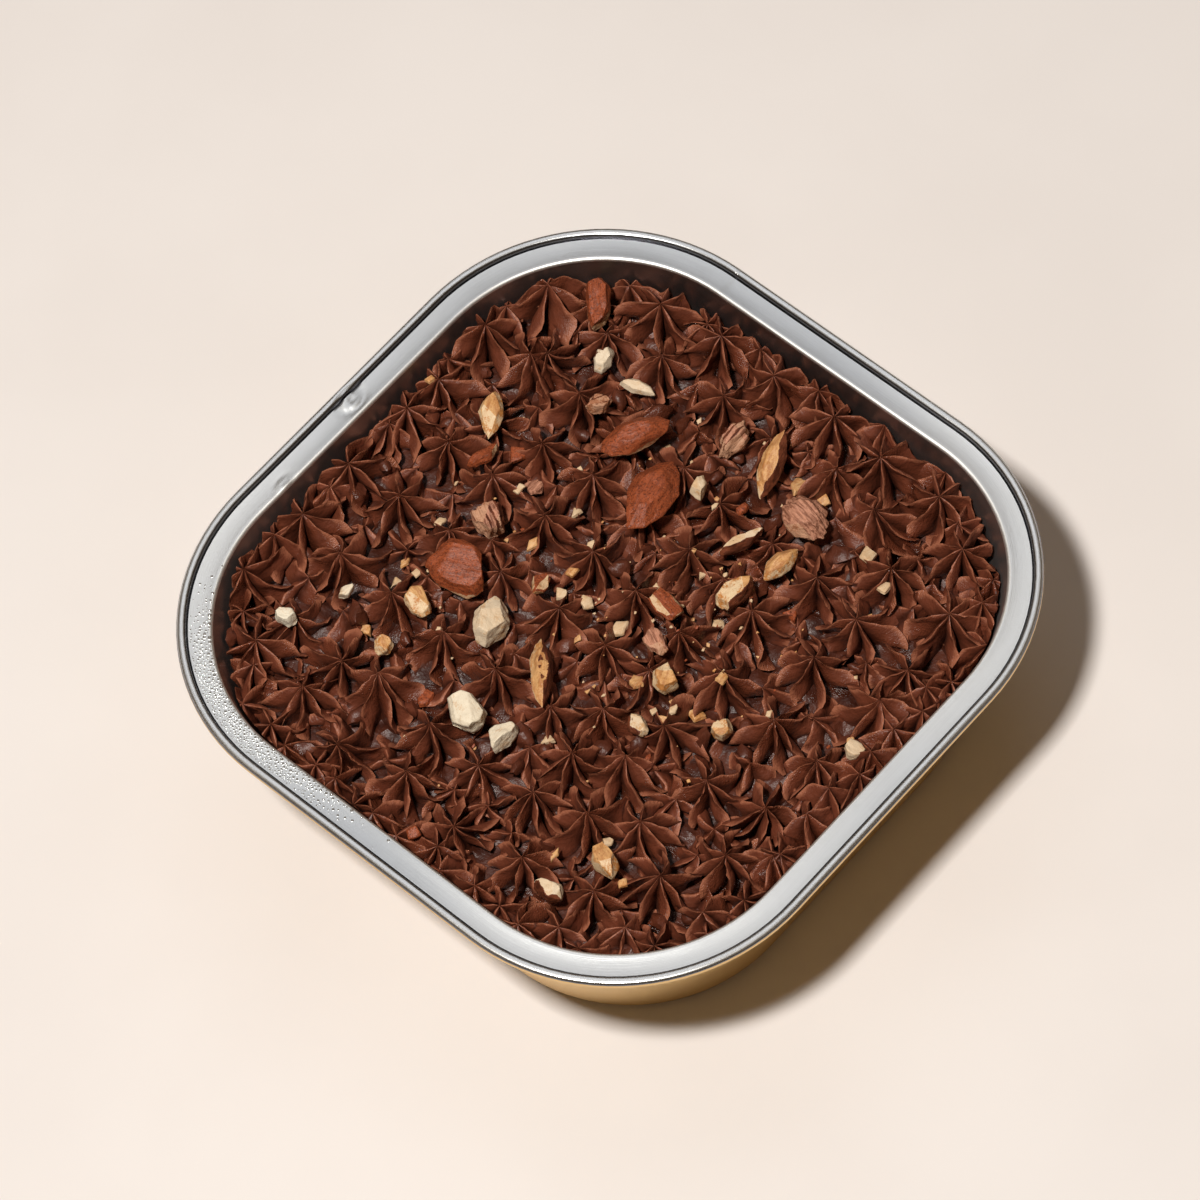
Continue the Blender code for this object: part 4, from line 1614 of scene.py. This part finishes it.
@dataclass
class AlmondPiece:
    """One larger piece of almond, refined from its solid."""

    number: int
    finish: Nut
    cut: Cut
    place: tuple[float, float]
    height: float
    turn: float
    fineness: float = 0.42
    sink: float = 0.35
    kept: tuple[float, float] = (0.64, 0.90)
    lift: tuple[float, float] = (-0.15, 0.45)
    top_lift: tuple[float, float] = (1.05, 1.40)
    top_kept: tuple[float, float] = (0.62, 0.82)
    furrow: float = 0.16
    furrow_width: float = 1.3
    bare_share: float = 0.45
    refined: int = 4
    chop_swing: float = 0.3
    furrow_sway: tuple[float, float] = (0.4, 0.5)
    broad_scale: float = 0.45
    fine_scale: float = 1.4
    fine_share: float = 0.45
    shift_scale: float = 0.8
    shift_share: float = 0.5
    grain_apart: float = 7.0
    steep_share: float = 0.75
    low_share: float = 0.45
    rind_edge: tuple[float, float] = (0.05, 0.60)
    sharp_from: float = 38.0
    seed: int = 40

    @property
    def node(self) -> str:
        """Name of the solid that the piece stands for."""
        return f"almond_{self.finish.name.lower()}_{self.number:02d}"

    def build(self, material: bpy.types.Material) -> bpy.types.Object:
        """Refine the solid: chopped faces, finer triangles and an uneven surface.

        Args:
            material: its material.

        Returns:
            The piece.
        """
        shape = bmesh.new()
        shape.from_mesh(frame["nodes"][self.node].data)
        bmesh.ops.scale(shape, vec=(1 / MM, 1 / MM, 1 / MM), verts=shape.verts[:])
        bmesh.ops.remove_doubles(shape, verts=shape.verts[:], dist=0.001)
        self._chop(shape, random.Random(self.seed + self.number))
        for _ in range(self.refined):
            long = [edge for edge in shape.edges if edge.calc_length() > self.fineness]
            if long:
                bmesh.ops.subdivide_edges(shape, edges=long, cuts=1, use_grid_fill=False)
                bmesh.ops.triangulate(shape, faces=[face for face in shape.faces if len(face.verts) > 3])
                drop_flaps(shape)
        for _ in range(self.cut.smoothing):
            bmesh.ops.smooth_vert(shape, verts=shape.verts[:], factor=0.5, use_axis_x=True, use_axis_y=True,
                                  use_axis_z=True)
        shape.normal_update()
        back = Matrix.Rotation(-math.radians(self.turn), 3, "Z")
        furrow = self.furrow if self.finish is Nut.STRIPED else 0.0
        for corner in shape.verts:
            across = (back @ corner.co).y + self.furrow_sway[1] * noise.noise(corner.co * self.furrow_sway[0])
            corner.co += corner.normal * furrow * math.sin(math.tau * across / self.furrow_width)
            push = noise.noise(corner.co * self.broad_scale + Vector((self.number, 0, 0)))
            push += self.fine_share * noise.noise(corner.co * self.fine_scale)
            corner.co += corner.normal * push * self.cut.ragged
            corner.co += wobble(corner.co, self.shift_scale, self.shift_share * self.cut.ragged)
            corner.co.z -= self.sink
        shape.normal_update()
        mesh = bpy.data.meshes.new(self.node)
        lie, cut, rind = self.frame_values(shape)
        bmesh.ops.scale(shape, vec=(MM, MM, MM), verts=shape.verts[:])
        shape.to_mesh(mesh)
        shape.free()
        write_attribute(mesh, "lie", lie)
        write_attribute(mesh, "cut", cut)
        write_attribute(mesh, "rind", rind)
        write_attribute(mesh, "pale", np.full(len(cut), PALE.get(self.number, 0.0)))
        mesh.materials.append(material)
        mesh.shade_smooth()
        mesh.set_sharp_from_angle(angle=math.radians(self.sharp_from))
        return new_piece(f"nut_{self.node}", mesh, self.finish.name.lower(), self.node)

    def _chop(self, shape: bmesh.types.BMesh, draw: random.Random) -> None:
        """Cut flat faces into the piece and mark them in the layer `cap`.

        Args:
            shape: the piece's mesh.
            draw: source of what varies.
        """
        cap = shape.faces.layers.float.new("cap")
        centre = sum((corner.co for corner in shape.verts), Vector()) / len(shape.verts)
        start = draw.uniform(0, math.tau)
        for number in range(self.cut.chops):
            swing = draw.uniform(-self.chop_swing, self.chop_swing)
            side = start + (number + swing) * math.tau / self.cut.chops
            flat = number == 0 and self.cut.chops > 1
            lift = draw.uniform(*(self.top_lift if flat else self.lift))
            way = Vector((math.cos(lift) * math.cos(side), math.cos(lift) * math.sin(side), math.sin(lift)))
            reach = max((corner.co - centre).dot(way) for corner in shape.verts)
            place = centre + way * reach * draw.uniform(*(self.top_kept if flat else self.kept))
            geometry = shape.verts[:] + shape.edges[:] + shape.faces[:]
            made = bmesh.ops.bisect_plane(
                shape, geom=geometry, plane_co=place, plane_no=way, clear_outer=True)
            border = [part for part in made["geom_cut"] if isinstance(part, bmesh.types.BMEdge)]
            for face in bmesh.ops.holes_fill(shape, edges=border, sides=0)["faces"]:
                face[cap] = float(self.finish is not Nut.SKIN or draw.random() < self.bare_share)
        bmesh.ops.triangulate(shape, faces=[face for face in shape.faces if len(face.verts) > 3])

    def frame_values(self, shape: bmesh.types.BMesh) -> tuple[np.ndarray, np.ndarray, np.ndarray]:
        """What the finish reads from the mesh's points.

        Args:
            shape: the piece's mesh.

        Returns:
            Each point's place in the piece's own frame, how much it belongs to a cut face, and how much
            skin clings to it.
        """
        base = min(corner.co.z for corner in shape.verts)
        back = Matrix.Rotation(-math.radians(self.turn), 3, "Z")
        lie, cut, rind = [], [], []
        degrees = RIND.get(self.number)
        side = Vector((math.cos(math.radians(degrees or 0)), math.sin(math.radians(degrees or 0)), 0))
        for corner in shape.verts:
            local = back @ (corner.co - Vector((*self.place, base)))
            lie.append(local + Vector((0, 0, self.grain_apart * self.number)))
            steep = 1 - max(0.0, corner.normal.z)
            low = 1 - local.z / self.height
            cut.append(self.steep_share * steep + self.low_share * low)
            faces_out = (back @ corner.normal).dot(side)
            rind.append(0.0 if degrees is None else smooth_step(faces_out, *self.rind_edge))
        return np.array(lie), np.clip(np.array(cut), 0, 1), np.array(rind)


# The chips and the crumbs: place (x, y), size and finish

CHIPS = (
    (36.2, -28.0, 3.2, Nut.CREAM), (32.8, -35.0, 2.7, Nut.CREAM), (-25.8, -7.9, 2.9, Nut.CREAM),
    (-29.0, 32.2, 2.6, Nut.TOASTED), (-5.6, 35.2, 2.5, Nut.CREAM), (-19.4, 33.2, 2.6, Nut.CREAM),
    (11.2, 17.9, 3.2, Nut.CREAM), (1.4, 19.4, 2.6, Nut.TOASTED), (0.9, -25.2, 3.0, Nut.TOASTED),
    (10.3, -15.4, 3.0, Nut.CREAM), (40.8, -8.4, 3.8, Nut.TOASTED), (40.6, -14.2, 2.2, Nut.TOASTED),
    (14.8, -8.4, 2.0, Nut.CREAM), (8.9, -2.6, 2.0, Nut.CREAM), (-42.0, -24.0, 2.3, Nut.TOASTED),
    (-54.6, -2.6, 3.2, Nut.SKIN), (19.6, -24.9, 3.6, Nut.SKIN), (29.0, -5.6, 3.4, Nut.SKIN),
    (-8.8, -22.4, 2.3, Nut.CREAM), (-5.2, -24.0, 3.0, Nut.TOASTED), (-3.2, 8.4, 3.0, Nut.CREAM),
    (-1.6, 4.5, 2.8, Nut.CREAM), (-1.6, -3.4, 3.4, Nut.CREAM), (8.0, 11.9, 2.4, Nut.CREAM),
    (1.0, 10.1, 2.6, Nut.TOASTED), (14.0, 33.8, 3.6, Nut.SKIN), (-33.0, 14.4, 3.4, Nut.SKIN),
    (-15.0, 35.2, 2.2, Nut.TOASTED), (20.9, 39.0, 2.0, Nut.CREAM), (-34.0, -29.2, 2.4, Nut.CREAM),
)
CRUMBS = (
    (-15.5, 32.1, 1.6, Nut.CREAM), (-0.2, 24.3, 1.5, Nut.TOASTED), (10.5, 39.3, 1.7, Nut.TOASTED),
    (14.3, 55.1, 2.4, Nut.TOASTED), (2.6, 39.1, 1.2, Nut.CREAM), (8.3, 28.8, 2.5, Nut.CREAM),
    (11.0, 27.3, 3.6, Nut.STRIPED), (39.0, 13.3, 1.2, Nut.CREAM), (26.0, -1.8, 1.5, Nut.CREAM),
    (17.3, -11.7, 1.6, Nut.CREAM), (8.0, -8.9, 2.0, Nut.CREAM), (27.4, -35.9, 1.5, Nut.TOASTED),
    (6.8, -49.0, 1.8, Nut.TOASTED), (1.0, -35.4, 1.6, Nut.CREAM), (-14.5, -7.2, 1.5, Nut.TOASTED),
    (-8.2, -13.2, 3.0, Nut.TOASTED), (-11.0, -19.7, 1.4, Nut.CREAM), (-11.7, -22.7, 2.1, Nut.TOASTED),
    (-17.4, -23.8, 1.2, Nut.SKIN), (-39.0, -36.7, 2.2, Nut.TOASTED), (-7.8, 1.1, 1.9, Nut.TOASTED),
    (-22.0, 20.8, 1.5, Nut.CREAM), (32.5, 15.3, 1.6, Nut.CREAM),
)


@dataclass
class Chips:
    """Small chips of almond that lie part sunk in the frosting, one piece for each finish."""

    word: str
    chips: tuple
    cuts: int = 2
    sides: tuple[int, ...] = (3, 4, 4, 5)
    feelers: int = 6
    feel: float = 0.32
    sink: float = 0.30
    height: float = 0.30
    foot: float = 1.15
    top: float = 1.0
    spread: tuple[float, float] = (0.65, 1.35)
    narrow: tuple[float, float] = (0.55, 0.95)
    seed: int = 33
    chip_edge: float = 0.05
    uneven: tuple[float, float] = (1.4, 0.06)
    above: float = 80.0
    bare: float = 0.35
    sharp_from: float = 40.0
    tilt: float = 0.45

    def build(self, tree: BVHTree, materials: dict[Nut, bpy.types.Material]) -> list[bpy.types.Object]:
        """Set the chips on the frosting.

        Args:
            tree: the frosting's surface, in millimetres.
            materials: the material of each finish.

        Returns:
            The pieces.
        """
        draw = random.Random(self.seed)
        parts: dict[Nut, tuple[list, list]] = {}
        for x, y, size, finish in self.chips:
            points, faces = self._chip(x, y, self._rest(tree, x, y, size), size, draw)
            all_points, all_faces = parts.setdefault(finish, ([], []))
            all_faces.extend(tuple(i + len(all_points) for i in face) for face in faces)
            all_points.extend(points)
        pieces = []
        for finish, (points, faces) in parts.items():
            mesh = new_mesh(f"{self.word}_{finish.name.lower()}", points, faces)
            write_attribute(mesh, "lie", np.array(points))
            write_attribute(mesh, "cut", np.full(len(points), self.bare))
            mesh.materials.append(materials[finish])
            mesh.shade_smooth()
            mesh.set_sharp_from_angle(angle=math.radians(self.sharp_from))
            pieces.append(new_piece(mesh.name, mesh, finish.name.lower(), "cake"))
        return pieces

    def _rest(self, tree: BVHTree, x: float, y: float, size: float) -> float:
        """Height of the frosting that carries a chip of this size: the second highest place under it.

        Args:
            tree: the frosting's surface.
            x: the place along x.
            y: the place along y.
            size: the chip's size.

        Returns:
            The height.
        """
        heights = []
        reach = self.feel * size
        for i in range(self.feelers):
            angle = i * math.tau / self.feelers
            place = Vector((x + reach * math.cos(angle), y + reach * math.sin(angle), self.above))
            heights.append(tree.ray_cast(place, Vector((0, 0, -1)))[0].z)
        return sorted(heights)[-2]

    def _chip(self, x: float, y: float, z: float, size: float, draw: random.Random) -> tuple[list, list]:
        """Points and faces of one shard: a flat prism with worn edges and an uneven surface.

        Args:
            x: the place along x.
            y: the place along y.
            z: height of the frosting under it.
            size: its size.
            draw: source of what varies.

        Returns:
            The points and the faces.
        """
        rings = []
        sides = draw.choice(self.sides)
        spread = [draw.uniform(*self.spread) for _ in range(sides)]
        start = draw.uniform(0, math.tau)
        narrow = draw.uniform(*self.narrow)
        for level, width in ((-self.sink, self.foot), (1 - self.sink, self.top)):
            ring = []
            for i in range(sides):
                angle = start + i * math.tau / sides
                along = size / 2 * width * spread[i] * math.cos(angle)
                across = size / 2 * width * spread[i] * narrow * math.sin(angle)
                ring.append((x + along, y + across, z + level * size * self.height))
            rings.append(ring)
        points, faces = loft(rings)
        shape = bmesh.new()
        corners = [shape.verts.new(point) for point in points]
        for face in faces:
            shape.faces.new([corners[i] for i in face])
        worn = self.chip_edge * size
        bmesh.ops.bevel(shape, geom=shape.edges[:], offset=worn, segments=1, affect="EDGES")
        bmesh.ops.triangulate(shape, faces=shape.faces[:])
        if self.cuts:
            bmesh.ops.subdivide_edges(shape, edges=shape.edges[:], cuts=self.cuts, use_grid_fill=True)
        way = draw.uniform(0, math.tau)
        lean = Matrix.Rotation(draw.uniform(0, self.tilt), 3, Vector((math.cos(way), math.sin(way), 0)))
        bmesh.ops.rotate(shape, cent=Vector((x, y, z)), matrix=lean, verts=shape.verts[:])
        for corner in shape.verts:
            corner.co += wobble(corner.co, self.uneven[0], self.uneven[1] * size)
        shape.verts.index_update()
        made = [tuple(corner.co) for corner in shape.verts]
        covers = [tuple(corner.index for corner in face.verts) for face in shape.faces]
        shape.free()
        return made, covers


@dataclass(frozen=True)
class Dust:
    """The finest crumbs, two in three of them round the middle."""

    count: int = 150
    dense: tuple[float, float, float] = (9.0, -9.0, 13.0)
    sparse: tuple[float, float, float] = (0.0, 12.0, 22.0)
    field_half: float = 52.0
    size: tuple[float, float] = (0.35, 1.0)
    finishes: tuple[Nut, ...] = (Nut.CREAM, Nut.TOASTED, Nut.TOASTED, Nut.SKIN)
    seed: int = 35

    def crumbs(self) -> Iterator[tuple[float, float, float, Nut]]:
        """Place, size and finish of each crumb."""
        draw = random.Random(self.seed)
        for number in range(self.count):
            middle_x, middle_y, spread = self.dense if number % 3 else self.sparse
            x, y = draw.gauss(middle_x, spread), draw.gauss(middle_y, spread)
            if abs(x) < self.field_half and abs(y) < self.field_half:
                yield x, y, draw.uniform(*self.size), draw.choice(self.finishes)


# The studio

@dataclass(frozen=True)
class Lamp:
    """Square soft light aimed at the cake: direction from +X and height angle in degrees, side in metres."""

    name: str
    turn: float
    elevation: float
    size: float
    power: float
    colour: Colour
    distance: float = 1.4

    def build(self) -> None:
        """Hang the light."""
        data = bpy.data.lights.new(self.name, "AREA")
        data.size = self.size
        data.energy = self.power
        data.color = self.colour
        light = bpy.data.objects.new(self.name, data)
        lift, side = math.radians(self.elevation), math.radians(self.turn)
        way = Vector((math.cos(lift) * math.cos(side), math.cos(lift) * math.sin(side), math.sin(lift)))
        light.location = way * self.distance
        light.rotation_euler = way.to_track_quat("Z", "Y").to_euler()
        bpy.context.scene.collection.objects.link(light)


@dataclass(frozen=True)
class Studio:
    """Plain pale floor, soft light and the camera at the photo's viewing angle.

    The floor is in metres, and the camera's distance and slide are in millimetres.
    """

    floor_half: float = 1.6
    floor_drop: float = 0.0002
    focal: float = 177.63
    sensor: float = 36.0
    distance: float = 1026.4
    elevation: float = 60.27
    tin_turn: float = 40.891
    roll: float = 9.071
    slide: tuple[float, float] = (-1.60, -1.268)
    far: float = 10.0
    key: Lamp = Lamp("key", turn=191.0, elevation=70.7, size=0.12, power=19.5, colour=(1.0, 0.965, 0.91))
    panel: Lamp = Lamp("panel", turn=49.0, elevation=62.0, size=0.8, power=1.4, colour=(0.92, 0.95, 1.0))
    sky: Colour = (1.0, 0.74, 0.48)
    sky_strength: float = 0.088

    def build(self) -> None:
        """Set up everything round the object."""
        self._floor()
        self._camera()
        self.key.build()
        self.panel.build()
        world = bpy.data.worlds.new("studio")
        bpy.context.scene.world = world
        world.use_nodes = True
        background = world.node_tree.nodes["Background"]
        background.inputs["Color"].default_value = (*self.sky, 1.0)
        background.inputs["Strength"].default_value = self.sky_strength
        bpy.context.scene.view_settings.view_transform = "Standard"

    def _floor(self) -> None:
        """Floor under the tin."""
        half = self.floor_half
        corners = [(-half, -half), (half, -half), (half, half), (-half, half)]
        mesh = new_mesh("floor", [(x, y, -self.floor_drop) for x, y in corners], [(0, 1, 2, 3)], 1.0)
        mesh.materials.append(FloorFinish().material())
        floor = bpy.data.objects.new("floor", mesh)
        bpy.context.scene.collection.objects.link(floor)

    def _camera(self) -> None:
        """Camera that looks down on the tin as in the photo."""
        lift = math.radians(self.elevation)
        roll = math.radians(self.roll)
        right = Vector((1, 0, 0))
        up = Vector((0, math.sin(lift), math.cos(lift)))
        back = Vector((0, -math.cos(lift), math.sin(lift)))
        turn = Matrix.Rotation(-math.radians(self.tin_turn), 3, "Z")
        place = turn @ (back * self.distance + Vector((*self.slide, 0))) + Vector((0, 0, TinForm.rim_height))
        across = turn @ (right * math.cos(roll) - up * math.sin(roll))
        above = turn @ (right * math.sin(roll) + up * math.cos(roll))
        axes = Matrix((across, above, turn @ back)).transposed().to_4x4()
        data = bpy.data.cameras.new("camera")
        data.lens = self.focal
        data.sensor_width = self.sensor
        data.clip_end = self.far
        camera = bpy.data.objects.new("camera", data)
        camera.matrix_world = Matrix.Translation(place * MM) @ axes
        bpy.context.scene.collection.objects.link(camera)
        bpy.context.scene.camera = camera


def surface_of(pieces: list[bpy.types.Object]) -> BVHTree:
    """The surface of these pieces in millimetres, for things to be set on.

    Args:
        pieces: the pieces.

    Returns:
        A tree of their faces that rays can be cast at.
    """
    points: list[Vector] = []
    faces: list[Face] = []
    for piece in pieces:
        faces.extend(tuple(i + len(points) for i in face.vertices) for face in piece.data.polygons)
        points.extend(Vector(point) for point in mesh_points(piece.data))
    return BVHTree.FromPolygons(points, faces)


def main() -> None:
    """Build every piece and the studio."""
    logging.basicConfig(level=logging.INFO, format="%(relativeCreated)6d ms  %(message)s")
    noise.seed_set(NOISE_SEED)
    Tin().build()
    Moisture().build()
    frosting = Frosting().build()
    materials = {finish: finish.value.material() for finish in Nut}
    for number, (finish, cut, place, _length, _width, height, turn) in enumerate(ALMONDS, 1):
        nut = Nut[finish.upper()]
        AlmondPiece(number, nut, Cut[cut.upper()], place, height, turn).build(materials[nut])
    surface = surface_of(frosting)
    Chips("chips", CHIPS).build(surface, materials)
    Chips("crumbs", CRUMBS, seed=34).build(surface, materials)
    Chips("dust", tuple(Dust().crumbs()), cuts=0, seed=36).build(surface, materials)
    Studio().build()


if __name__ == "__main__":
    main()
